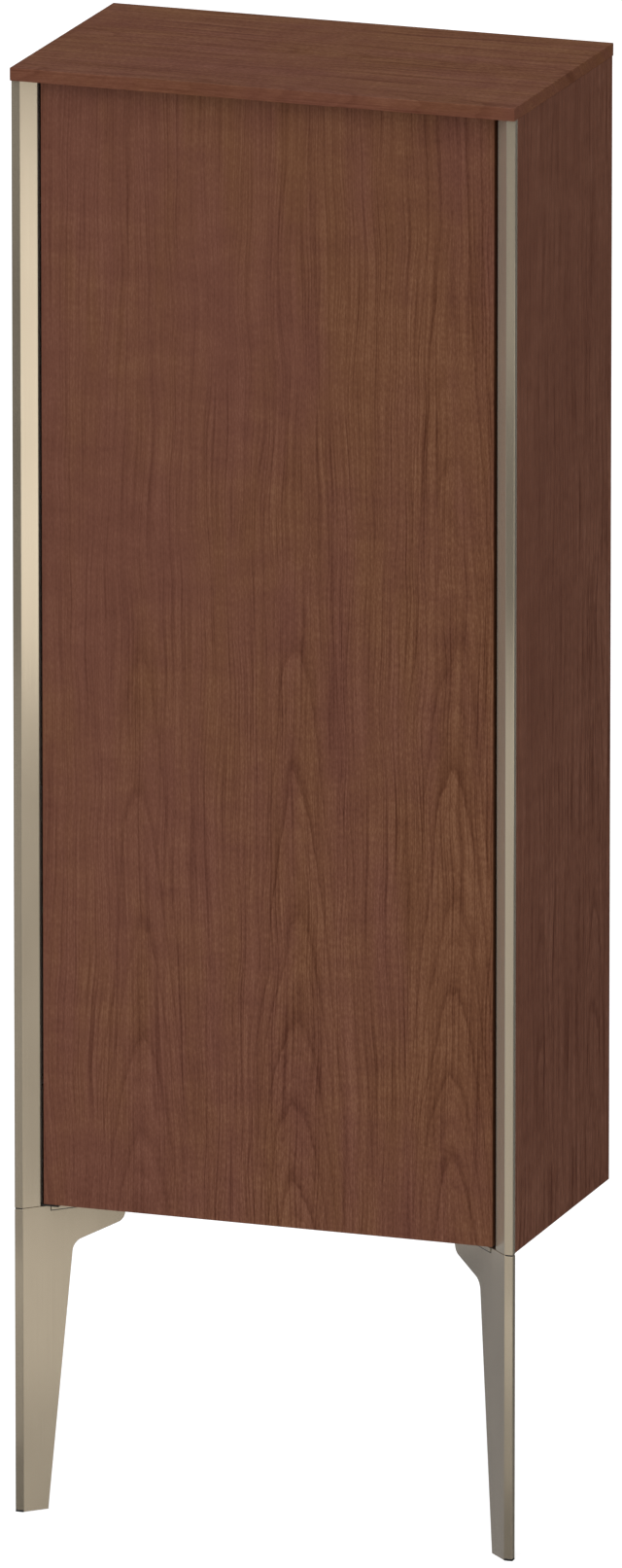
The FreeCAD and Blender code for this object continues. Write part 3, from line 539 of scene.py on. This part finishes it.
def glass():
    """Clear float glass, faintly green in its depth, with the slightest waviness."""
    finish = Finish("shelf_glass", Transmission_Weight=1.0, IOR=1.52)
    wave = finish.grains(70, 70, 70, detail=1.0)
    film = finish.grains(30, 30, 30, detail=3.0)
    finish.give("Base Color", finish.ramp(film + 0.5, [(233, 244, 238), (240, 248, 244)], stops=(0.3, 0.7)))
    finish.give("Roughness", film * 0.03 + 0.03)
    finish.bump(wave, depth=0.02 * MM)
    return finish.material


def glass_edge():
    """Polished edge of the glass, where light gathers and shows green."""
    finish = Finish("shelf_glass_edge", Transmission_Weight=0.35, IOR=1.52)
    ground = finish.grains(8, 8, 0.7)
    depth = finish.grains(40, 40, 40)
    tone = ground * 0.4 + depth * 0.6 + 0.5
    finish.give("Base Color", finish.ramp(tone, [(122, 164, 146), (158, 196, 178)]))
    finish.give("Roughness", ground * 0.1 + 0.18)
    finish.bump(ground, depth=0.02 * MM)
    return finish.material


def beech():
    """Plain beech of the dowels, with short flecks."""
    finish = Finish("beech", Specular_IOR_Level=0.3)
    grain = finish.grains(14, 0.9, 0.9, detail=3.0)
    fleck = finish.grains(2.2, 0.5, 0.5, detail=1.0).rise(0.12, 0.22)
    tone = grain - fleck * 0.15 + 0.5
    finish.give("Base Color", finish.ramp(tone, [(176, 132, 92), (212, 172, 128)]))
    finish.give("Roughness", grain * 0.1 + 0.6)
    finish.bump(grain - fleck, depth=0.04 * MM)
    return finish.material


def moulded(name, dark, light):
    """Moulded plastic with a spark-eroded skin and faint flow marks."""
    finish = Finish(name, Specular_IOR_Level=0.45)
    eroded = finish.grains(0.35, 0.35, 0.35)
    flow = finish.grains(12, 26, 12)
    finish.give("Base Color", finish.ramp(eroded * 0.3 + flow * 0.8 + 0.5, [dark, light]))
    finish.give("Roughness", eroded * 0.12 + flow * 0.1 + 0.48)
    finish.bump(eroded, depth=0.02 * MM)
    return finish.material


def skin(work, loops):
    """Walls from each loop of points to the next, and a cap at either end."""
    for lower, upper in zip(loops, loops[1:]):
        for index in range(len(lower)):
            after = (index + 1) % len(lower)
            work.faces.new((lower[index], lower[after], upper[after], upper[index]))
    work.faces.new(reversed(loops[0]))
    work.faces.new(loops[-1])


def mesh_from(work, name):
    """Finished mesh of a work mesh, which is used up."""
    bmesh.ops.recalc_face_normals(work, faces=work.faces)
    mesh = bpy.data.meshes.new(name)
    work.to_mesh(mesh)
    work.free()
    return mesh


def shade_smooth(mesh):
    """Smooth shading that keeps the sharp edges."""
    for face in mesh.polygons:
        face.use_smooth = True
    mesh.set_sharp_from_angle(angle=SHARP_ANGLE)


def add_piece(name, work, material, body, smooth=False):
    """A piece made of a work mesh, which moves with a body."""
    mesh = mesh_from(work, name)
    if smooth:
        shade_smooth(mesh)
    mesh.materials.append(material)
    piece = bpy.data.objects.new(name, mesh)
    bpy.context.scene.collection.objects.link(piece)
    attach(piece, body)
    return piece


def loose_pieces(node):
    """Points of each separate solid in a CAD node."""
    mesh = bmesh.new()
    mesh.from_mesh(frame["nodes"][node].data)
    bmesh.ops.remove_doubles(mesh, verts=mesh.verts, dist=WELD)
    seen = set()
    pieces = []
    for start in mesh.verts:
        if start in seen:
            continue
        seen.add(start)
        reached = [start]
        for vert in reached:
            for edge in vert.link_edges:
                other = edge.other_vert(vert)
                if other not in seen:
                    seen.add(other)
                    reached.append(other)
        pieces.append([vert.co.copy() for vert in reached])
    mesh.free()
    return pieces


class PlainScrew:
    """Place and sizes of one plain screw of the frame: a head and a shank along one of the axes."""

    def __init__(self, points):
        low = Vector([min(point[axis] for point in points) for axis in range(3)])
        high = Vector([max(point[axis] for point in points) for axis in range(3)])
        spans = high - low
        along = max(range(3), key=lambda axis: spans[axis])
        self.length = spans[along]
        middle = (low + high) / 2

        def radius(point):
            across = point - middle
            across[along] = 0.0
            return across.length

        self.head_radius = max(radius(point) for point in points)
        rim = [point[along] for point in points if radius(point) > HEAD_RIM * self.head_radius]
        upward = sum(rim) / len(rim) > middle[along]
        self.direction = Vector((0.0, 0.0, 0.0))
        self.direction[along] = 1.0 if upward else -1.0
        self.top = middle + self.direction * (self.length / 2)
        self.head_height = max(rim) - min(rim)
        shank_start = BELOW_HEAD * self.head_height
        shank = [point for point in points if (self.top - point).dot(self.direction) > shank_start]
        self.shank_radius = max(radius(point) for point in shank)

    def matrix(self, turn):
        """Places a screw that is modelled head up, with its top at the origin, turned about its axis."""
        upright = self.direction.to_track_quat("Z", "Y").to_matrix().to_4x4()
        return Matrix.Translation(self.top) @ upright @ Matrix.Rotation(turn, 4, "Z")


def screw_rings(size):
    """Height and radii, core and crest, of each ring of a screw from its tip to the rim of its top."""
    core = SCREW_CORE * size.shank_radius
    tip = TIP_LENGTH * size.shank_radius
    neck = -size.head_height - SCREW_NECK
    steps = round((size.length + neck) / THREAD_PITCH * THREAD_STEPS)
    rings = []
    for step in range(steps + 1):
        height = -size.length + (size.length + neck) * step / steps
        from_tip = min((height + size.length) / tip, 1.0)
        below_neck = min((neck - height) / THREAD_PITCH, 1.0)
        taper = TIP_TAPER + (1.0 - TIP_TAPER) * from_tip
        crest = core + (size.shank_radius - core) * below_neck
        rings.append((height, core * taper, crest * taper))
    rings.append((-size.head_height, core, core))
    for height, share in HEAD_RINGS:
        radius = share * size.head_radius
        rings.append((height * size.head_height, radius, radius))
    return rings


def screw_body(size):
    """Turned screw with a domed head and a helical thread that runs out at the neck and at the tip."""
    work = bmesh.new()
    loops = []
    for height, core, crest in screw_rings(size):
        loop = []
        for index in range(SCREW_SIDES):
            turn = index / SCREW_SIDES
            phase = (height / THREAD_PITCH + turn) % 1.0
            ridge = max(0.0, 1.0 - abs(phase - 0.5) / THREAD_RIDGE)
            radius = core + (crest - core) * ridge
            angle = turn * math.tau
            loop.append(work.verts.new((radius * math.cos(angle), radius * math.sin(angle), height)))
        loops.append(loop)
    skin(work, loops)
    return mesh_from(work, "screw")


def cross_recess(size):
    """Tapered cross that is cut out of the head."""
    work = bmesh.new()
    loops = []
    levels = ((-RECESS_DEPTH * size.head_height, *RECESS_FLOOR), (RECESS_ABOVE, *RECESS_MOUTH))
    for height, reach, half in levels:
        loop = []
        for quarter in range(4):
            spin = Matrix.Rotation(quarter * math.pi / 2, 3, "Z")
            for x, y in ((half, -half), (reach, -half), (reach, half)):
                corner = spin @ Vector((x * size.head_radius, y * size.head_radius, 0.0))
                loop.append(work.verts.new((corner.x, corner.y, height)))
        loops.append(loop)
    skin(work, loops)
    return mesh_from(work, "recess")


def cut(mesh, tool):
    """A mesh with the form of another cut out of it."""
    pair = [bpy.data.objects.new(part.name, part) for part in (mesh, tool)]
    for part in pair:
        bpy.context.scene.collection.objects.link(part)
    modifier = pair[0].modifiers.new("cut", "BOOLEAN")
    modifier.operation = "DIFFERENCE"
    modifier.solver = "EXACT"
    modifier.object = pair[1]
    bpy.context.view_layer.update()
    result = bpy.data.meshes.new_from_object(pair[0].evaluated_get(bpy.context.evaluated_depsgraph_get()))
    for part in pair:
        bpy.data.objects.remove(part)
    return result


def detailed_screws(node, material):
    """Screws with cross recess and thread in the place of a node's plain ones."""
    plain = [PlainScrew(points) for points in loose_pieces(node)]
    pattern = cut(screw_body(plain[0]), cross_recess(plain[0]))
    work = bmesh.new()
    for index, screw in enumerate(plain):
        placed = pattern.copy()
        placed.transform(screw.matrix(index * SCREW_TURN))
        work.from_mesh(placed)
        bpy.data.meshes.remove(placed)
    body = frame["nodes"][node]["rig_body"]
    piece = add_piece(node + "_detailed", work, material, body, smooth=True)
    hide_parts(node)


def coil_heights():
    """Height of each step of the coil, in steps of its open pitch."""
    steps = round(COIL_TURNS * COIL_STEPS)
    heights = [0.0]
    for step in range(steps):
        from_end = min(step + 0.5, steps - step - 0.5) / COIL_STEPS
        spread = min(max(from_end - COIL_CLOSED_TURNS, 0.0), 1.0)
        heights.append(heights[-1] + COIL_END_PITCH + (1.0 - COIL_END_PITCH) * spread)
    return heights


def latch_coil(material):
    """Compression spring with closed end turns, which stays with the cabinet in the place of the plain latch
    spring.
    """
    low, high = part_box("latch_spring")
    centre = (low + high) / 2
    wire = COIL_WIRE / 2
    coil_radius = (high.x - low.x) / 2 - wire
    start = low.y + COIL_GAP + wire
    length = high.y - low.y - 2 * (COIL_GAP + wire)
    heights = coil_heights()
    work = bmesh.new()
    loops = []
    for step, height in enumerate(heights):
        turn = step / COIL_STEPS * math.tau
        loop = []
        for index in range(COIL_SIDES):
            angle = index / COIL_SIDES * math.tau
            radius = coil_radius + wire * math.cos(angle)
            y = start + length * height / heights[-1] + wire * math.sin(angle)
            place = (centre.x + radius * math.cos(turn), y, centre.z + radius * math.sin(turn))
            loop.append(work.verts.new(place))
        loops.append(loop)
    skin(work, loops)
    piece = add_piece("latch_spring_coil", work, material, "cabinet", smooth=True)
    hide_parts("latch_spring")
    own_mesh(piece)


def turned_in(start, length, share):
    """Profile points of a stretch that is turned down to a share of the radius."""
    end = start + length
    return [(start, 1.0), (start + FLANK, share), (end - FLANK, share), (end, 1.0)]


def turned_plunger(material):
    """Plunger with a domed nose, a groove behind it, guide rings and an eased rear end."""
    low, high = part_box("latch_plunger")
    centre = (low + high) / 2
    full = (high.x - low.x) / 2
    length = high.y - low.y
    profile = [*NOSE, *turned_in(GROOVE_START, GROOVE_LENGTH, GROOVE_RADIUS)]
    for waist in WAIST_STARTS:
        profile += turned_in(waist, WAIST_LENGTH, WAIST_RADIUS)
    profile += [(length - REAR_EASE, 1.0), (length, REAR_RADIUS)]
    work = bmesh.new()
    loops = []
    for depth, share in profile:
        loop = []
        for index in range(PLUNGER_SIDES):
            angle = index / PLUNGER_SIDES * math.tau
            x = centre.x + full * share * math.cos(angle)
            z = centre.z + full * share * math.sin(angle)
            loop.append(work.verts.new((x, low.y + depth, z)))
        loops.append(loop)
    skin(work, loops)
    piece = add_piece("latch_plunger_turned", work, material, "latch_plunger", smooth=True)
    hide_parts("latch_plunger")


def rounded_outline(corners, radius):
    """Outline through plan corners, each rounded by an arc of the given radius."""
    points = []
    for index, corner in enumerate(corners):
        neighbours = (corners[index - 1], corners[(index + 1) % len(corners)])
        ways = [(neighbour - corner).normalized() for neighbour in neighbours]
        half = ways[0].angle(ways[1]) / 2
        centre = corner + (ways[0] + ways[1]).normalized() * radius / math.sin(half)
        touches = [corner + way * radius / math.tan(half) for way in ways]
        for step in range(ARC_STEPS + 1):
            spoke = (touches[0] - centre).slerp(touches[1] - centre, step / ARC_STEPS)
            points.append(centre + spoke.normalized() * radius)
    return points


def slab(work, outline, bottom, top):
    """Closed plate of an outline between two heights."""
    loops = []
    for height in (bottom, top):
        loops.append([work.verts.new((point.x, point.y, height)) for point in outline])
    skin(work, loops)


def outer_edge(box):
    """Distance of a box's outer side from the middle of the cabinet."""
    return max(abs(corner.x) for corner in box)


def corner_shade_plug(hand, side, material):
    """Moulded plug that closes the gap between leg, profile and bottom panel, clipped behind the plate; it
    is dark so that it also stands in for the shade in the gap.
    """
    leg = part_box(hand + "_leg")
    bar_low, bar_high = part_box(hand + "_foot_glide")
    panel_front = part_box("bottom_panel")[0].y - PLUG_GAP
    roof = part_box("bottom_panel")[0].z - PLUG_GAP
    plate_front = outer_edge(leg) - (bar_high.x - bar_low.x) + leg[0].y
    plate_back = plate_front + LEG_PLATE * math.sqrt(2)
    rest_line = plate_back - PLUG_REST
    clip_line = plate_back + PLUG_GAP * math.sqrt(2)
    outer = min(abs(corner.x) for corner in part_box(hand + "_corner_profile")) - PLUG_GAP
    inner = rest_line - panel_front

    def plan(x, y):
        return Vector((side * x, y))

    cover = [plan(outer, rest_line - outer), plan(outer, panel_front), plan(inner, panel_front)]
    backward = Vector((side, 1)).normalized()
    ends = [plan(x, clip_line - x) for x in (outer - CLIP_OVERLAP, inner + CLIP_OVERLAP)]
    clip = ends + [end + backward * CLIP_WALL for end in reversed(ends)]
    work = bmesh.new()
    slab(work, rounded_outline(cover, PLUG_ROUND), roof - PLUG_SHEET, roof)
    slab(work, rounded_outline(clip, CLIP_ROUND), roof - PLUG_DEPTH, roof - PLUG_SHEET / 2)
    add_piece(hand + "_corner_shade_plug", work, material, "cabinet")


def seam_shadow_strip(hand, side, material):
    """Thin dark strip around a leg's spigot, set back in the seam under the corner profile, which stands in
    for the shadow in the seam.
    """
    low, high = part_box(hand + "_foot_glide")
    outer = outer_edge((low, high))
    width = high.x - low.x - PLATE_GAP
    depth = high.y - low.y
    spigot = SPIGOT_INSET - PLUG_GAP
    outline = []
    for across, back in ((width - SEAM_SHADOW_INSET, SEAM_SHADOW_INSET), (SEAM_SHADOW_INSET, SEAM_SHADOW_INSET),
                         (SEAM_SHADOW_INSET, depth - SEAM_SHADOW_INSET), (depth / 2, depth - SEAM_SHADOW_INSET),
                         (depth / 2, depth - spigot), (spigot, depth - spigot), (spigot, spigot),
                         (width - spigot, spigot)):
        outline.append(Vector((side * (outer - across), low.y + back)))
    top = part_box(hand + "_corner_profile")[0].z - PLUG_GAP
    work = bmesh.new()
    slab(work, outline, top - SEAM_SHADOW_HEIGHT, top)
    add_piece(hand + "_seam_shadow_strip", work, material, "cabinet")


def rim_shadow_strip(hand, side, material):
    """Thin dark strip along the lower edge and the outer end of a leg's raised rim, which stands in for the
    shadow in the gap under the rim.
    """
    low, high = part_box(hand + "_foot_glide")
    corner = Vector((side * (outer_edge((low, high)) - (high.x - low.x)), low.y))
    along = Vector((-side, 1)).normalized()
    forward = Vector((-side, -1)).normalized()
    plate_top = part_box(hand + "_corner_profile")[0].z - SEAM
    rim_low = plate_top - RIM_HEIGHT
    shadow_low = rim_low - RIM_SHADOW_HEIGHT
    shadow_top = rim_low - RIM_SHADOW_GAP
    start = RIM_START - RIM_SHADOW_GAP
    end = RIM_START + RIM_LENGTH
    work = bmesh.new()
    loops = []
    for proud in (0.0, RIM_SHADOW_PROUD):
        loop = []
        for reach, z in ((start - RIM_SHADOW_END, plate_top), (start - RIM_SHADOW_END, shadow_low), (end, shadow_low),
                         (end, shadow_top), (start, shadow_top), (start, plate_top)):
            place = corner + along * reach + forward * proud
            loop.append(work.verts.new((place.x, place.y, z)))
        loops.append(loop)
    skin(work, loops)
    add_piece(hand + "_rim_shadow_strip", work, material, "cabinet")


def soften(node, radius, segments=2, edge_slot=-1):
    """Ease the sharp edges of a CAD node, after its flat faces are made whole."""
    thing = frame["nodes"][node]
    weld = thing.modifiers.new("weld", "WELD")
    weld.merge_threshold = WELD
    whole = thing.modifiers.new("whole_faces", "DECIMATE")
    whole.decimate_type = "DISSOLVE"
    whole.angle_limit = FLAT_ANGLE
    bevel = thing.modifiers.new("edge", "BEVEL")
    bevel.width = radius
    bevel.segments = segments
    bevel.material = edge_slot
    bevel.limit_method = "ANGLE"
    bevel.angle_limit = EDGE_ANGLE
    bevel.use_clamp_overlap = False
    thing.modifiers.new("shading", "WEIGHTED_NORMAL")


def dress(material, *nodes, ease=0.0):
    """Give nodes of the frame a material, and ease their edges by a radius."""
    for node in nodes:
        slots = frame["nodes"][node].data.materials
        slots.clear()
        slots.append(material)
        if ease:
            soften(node, ease)


def dress_wood():
    """Veneers of the door, the sides and the cover."""
    door_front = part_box("door_panel")[0].y / MM
    left_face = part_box("left_side_panel")[0].x / MM
    right_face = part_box("right_side_panel")[1].x / MM
    cover_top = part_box("cover_panel")[1].z / MM
    # Painted shade darkens the upright sides; painted light lifts the cover, and painted shade darkens the
    # cover's edges
    upright = dict(flames=0.7, fibre=(3, 130), streaks=1.15, flecks=1.1, fleck_length=10,
                   blush=0.05, mellow=-0.1, shade=-0.045)
    lying = dict(flames=0.5, shade=0.09, gloss=0.01, mellow=0.02, edges=0.45)
    door = veneer("door_veneer", "Z", "Y", door_front, leaf_axis=29.7, slip=0.2, seed=0, growth=5.25)
    left = veneer("left_side_veneer", "Z", "X", left_face, leaf_axis=40, slip=0.1, seed=700, **upright)
    right = veneer("right_side_veneer", "Z", "X", right_face, leaf_axis=-60, slip=-0.1, seed=1500, **upright)
    cover = veneer("cover_veneer", "X", "Z", cover_top, leaf_axis=15, slip=0.1, seed=2400, **lying)
    dress(door, "door_panel", ease=0.6 * MM)
    dress(left, "left_side_panel", ease=0.4 * MM)
    dress(right, "right_side_panel", ease=0.4 * MM)
    dress(cover, "cover_panel", ease=0.6 * MM)


def dress_carcass():
    """Profiles and legs, the boards inside and behind, and the dowels."""
    metal = champagne_metal()
    dress(metal, "left_corner_profile", "right_corner_profile", "left_leg", "right_leg", ease=0.4 * MM)
    dress(board(), "bottom_panel", "top_panel", "back_panel", ease=0.3 * MM)
    dress(beech(), "carcass_dowels")


def dress_shelves():
    """Glass shelves, with a material of its own on the polished edge."""
    clear = glass()
    polished = glass_edge()
    for node in ("lower_shelf", "middle_shelf", "upper_shelf"):
        dress(clear, node)
        frame["nodes"][node].data.materials.append(polished)
        soften(node, SHELF_EDGE, SHELF_EDGE_STEPS, edge_slot=1)


def dress_fittings():
    """Metal and plastic fittings, and the detailed pieces on and among them."""
    zinc = steel("zinc_plated_steel", (168, 170, 172), (204, 204, 200))
    dress(zinc, "lower_shelf_supports", "middle_shelf_supports", "upper_shelf_supports", ease=0.25 * MM)
    dress(zinc, "left_hanger", "right_hanger", "left_wall_plate", "right_wall_plate", ease=0.3 * MM)
    dress(zinc, "strike_plate", "lower_pivot_pin", "upper_pivot_pin", ease=0.25 * MM)
    latch_coil(zinc)
    for node in ("cover_screws", "left_profile_screws", "right_profile_screws", "left_leg_screws",
                 "right_leg_screws", "latch_screws", "strike_screws", "hanger_screws"):
        detailed_screws(node, zinc)
    black = steel("blackened_steel", (50, 48, 46), (74, 71, 68))
    dress(black, "lower_pivot_bracket", "upper_pivot_bracket", ease=0.25 * MM)
    detailed_screws("bracket_screws", black)
    dark = moulded("dark_plastic", (26, 25, 24), (44, 42, 40))
    dress(dark, "left_foot_glide", "right_foot_glide", ease=0.3 * MM)
    dress(dark, "lower_pivot_bush", "upper_pivot_bush", ease=0.2 * MM)
    # Dark pieces in the gaps at the legs, whose dark stands in for the shade there
    for make in (corner_shade_plug, seam_shadow_strip, rim_shadow_strip):
        for hand, side in HANDS:
            make(hand, side, dark)
    grey = moulded("grey_plastic", (120, 120, 118), (148, 147, 144))
    dress(grey, "latch_housing", ease=0.4 * MM)
    turned_plunger(grey)


def floor():
    """Pale floor, which shows as white and in no reflection."""
    mesh = bpy.data.meshes.new("floor")
    reach = FLOOR_REACH
    corners = [(-reach, -reach, 0), (reach, -reach, 0), (reach, reach, 0), (-reach, reach, 0)]
    mesh.from_pydata(corners, [], [(0, 1, 2, 3)])
    ground = bpy.data.objects.new("floor", mesh)
    bpy.context.scene.collection.objects.link(ground)
    ground.visible_glossy = False
    pale = Finish("pale_floor", Base_Color=FLOOR_GREY, Roughness=0.9, Specular_IOR_Level=0.0,
                  Emission_Color=WHITE, Emission_Strength=FLOOR_GLOW)
    mesh.materials.append(pale.material)


def surroundings():
    """White to the eye; for light and reflections a soft room, dark behind and dark low in front."""
    world = bpy.data.worlds.new("studio")
    bpy.context.scene.world = world
    world.use_nodes = True
    room = Nodes(world.node_tree)
    x, y, z = room.split(room.add("ShaderNodeTexCoord").outputs["Generated"])
    sky = x * SKY_SLOPE_X + y * SKY_SLOPE_Y + SKY_LEVEL
    ground = x * GROUND_SLOPE_X + y * GROUND_SLOPE_Y + x * x * GROUND_CURVE_X + GROUND_LEVEL
    ground = ground * y.rise(*FRONT_SHADE)
    level = ground + (sky - ground) * z.rise(*HORIZON)
    colour = room.mix(x.rise(*COOL_SIDE, 1.0, 0.0), WHITE, COOL_LIGHT)
    soft = room.add("ShaderNodeBackground", {"Color": colour, "Strength": level})
    white = room.add("ShaderNodeBackground", {"Color": WHITE, "Strength": 1.0})
    seen = room.add("ShaderNodeLightPath").outputs["Is Camera Ray"]
    mix = room.add("ShaderNodeMixShader", {0: seen, 1: soft.outputs[0], 2: white.outputs[0]})
    room.add("ShaderNodeOutputWorld", {"Surface": mix.outputs[0]})


def direction(azimuth, elevation):
    """Way from the cabinet out to a place that is seen at these angles, in degrees."""
    turn, rise = math.radians(azimuth), math.radians(elevation)
    return Vector((math.sin(turn) * math.cos(rise), -math.cos(turn) * math.cos(rise), math.sin(rise)))


def aim(name, data, place, target):
    """Object of a lamp or camera at a place, turned to a target."""
    thing = bpy.data.objects.new(name, data)
    bpy.context.scene.collection.objects.link(thing)
    thing.location = place
    thing.rotation_mode = "QUATERNION"
    thing.rotation_quaternion = (Vector(target) - Vector(place)).to_track_quat("-Z", "Y")
    return thing


def sun(name, azimuth, elevation, strength, spread):
    """Broad soft light from a direction, which shows in no reflection."""
    data = bpy.data.lights.new(name, "SUN")
    data.energy = strength
    data.angle = math.radians(spread)
    lamp = aim(name, data, direction(azimuth, elevation), (0, 0, 0))
    lamp.visible_glossy = False


def panel(name, place, target, low, high, width, power):
    """Upright panel at a place in plan, turned to a target in plan, which lights glossy surfaces only."""
    data = bpy.data.lights.new(name, "AREA")
    data.shape = "RECTANGLE"
    data.size = width
    data.size_y = high - low
    data.energy = power
    middle = (low + high) / 2
    lamp = aim(name, data, (*place, middle), (*target, middle))
    lamp.visible_camera = False
    lamp.visible_diffuse = False


def front_panel(name, x, y, low, high, width, power):
    """Panel before the cabinet and parallel to its front, for the faces that look forward."""
    panel(name, (x, y), (x, 0.0), low, high, width, power)


def lights():
    """Two suns for the light, and panels for the reflections in the metal, in metres and watts."""
    sun("key", azimuth=-25, elevation=58, strength=1.5, spread=70)
    sun("back", azimuth=180, elevation=45, strength=0.25, spread=70)
    left_bevel, left_plate, right_plate = (-0.24, -0.14), (-0.20, -0.13), (0.19, -0.09)
    panel("bevel_panel", (0.58, -0.42), left_bevel, low=0.59, high=1.16, width=0.5, power=0.836)
    panel("low_bevel_panel", (0.56, -0.413), left_bevel, low=0.59, high=0.82, width=0.5, power=0.054)
    panel("leg_panel", (0.12, -0.24), left_plate, low=0.01, high=0.19, width=0.15, power=0.0160)
    front_panel("right_panel", x=0.05, y=-0.69, low=1.0, high=1.28, width=0.4, power=0.0915)
    front_panel("low_right_panel", x=0.06, y=-0.67, low=0.02, high=0.735, width=0.5, power=0.524)
    front_panel("left_panel", x=-0.44, y=-0.69, low=1.12, high=1.32, width=0.3, power=0.0184)
    front_panel("low_left_panel", x=-0.44, y=-0.69, low=0.02, high=0.70, width=0.3, power=0.138)
    front_panel("right_leg_panel", x=0.18, y=-0.322, low=0.01, high=0.20, width=0.14, power=0.0165)
    panel("under_panel", (-0.038, -0.01), right_plate, low=0.215, high=0.285, width=0.16, power=0.0060)
    front_panel("left_leg_panel", x=-0.31, y=-0.322, low=0.01, high=0.20, width=0.14, power=0.0158)


def camera():
    """Camera at the photograph's angle and framing."""
    data = bpy.data.cameras.new("camera")
    data.lens = CAMERA_LENS
    data.sensor_width = CAMERA_SENSOR
    data.clip_end = CAMERA_REACH
    place = CAMERA_TARGET + direction(CAMERA_AZIMUTH, CAMERA_ELEVATION) * CAMERA_DISTANCE
    bpy.context.scene.camera = aim("camera", data, place, CAMERA_TARGET)


dress_wood()
dress_carcass()
dress_shelves()
dress_fittings()
floor()
surroundings()
lights()
camera()
bpy.context.scene.view_settings.view_transform = "Standard"
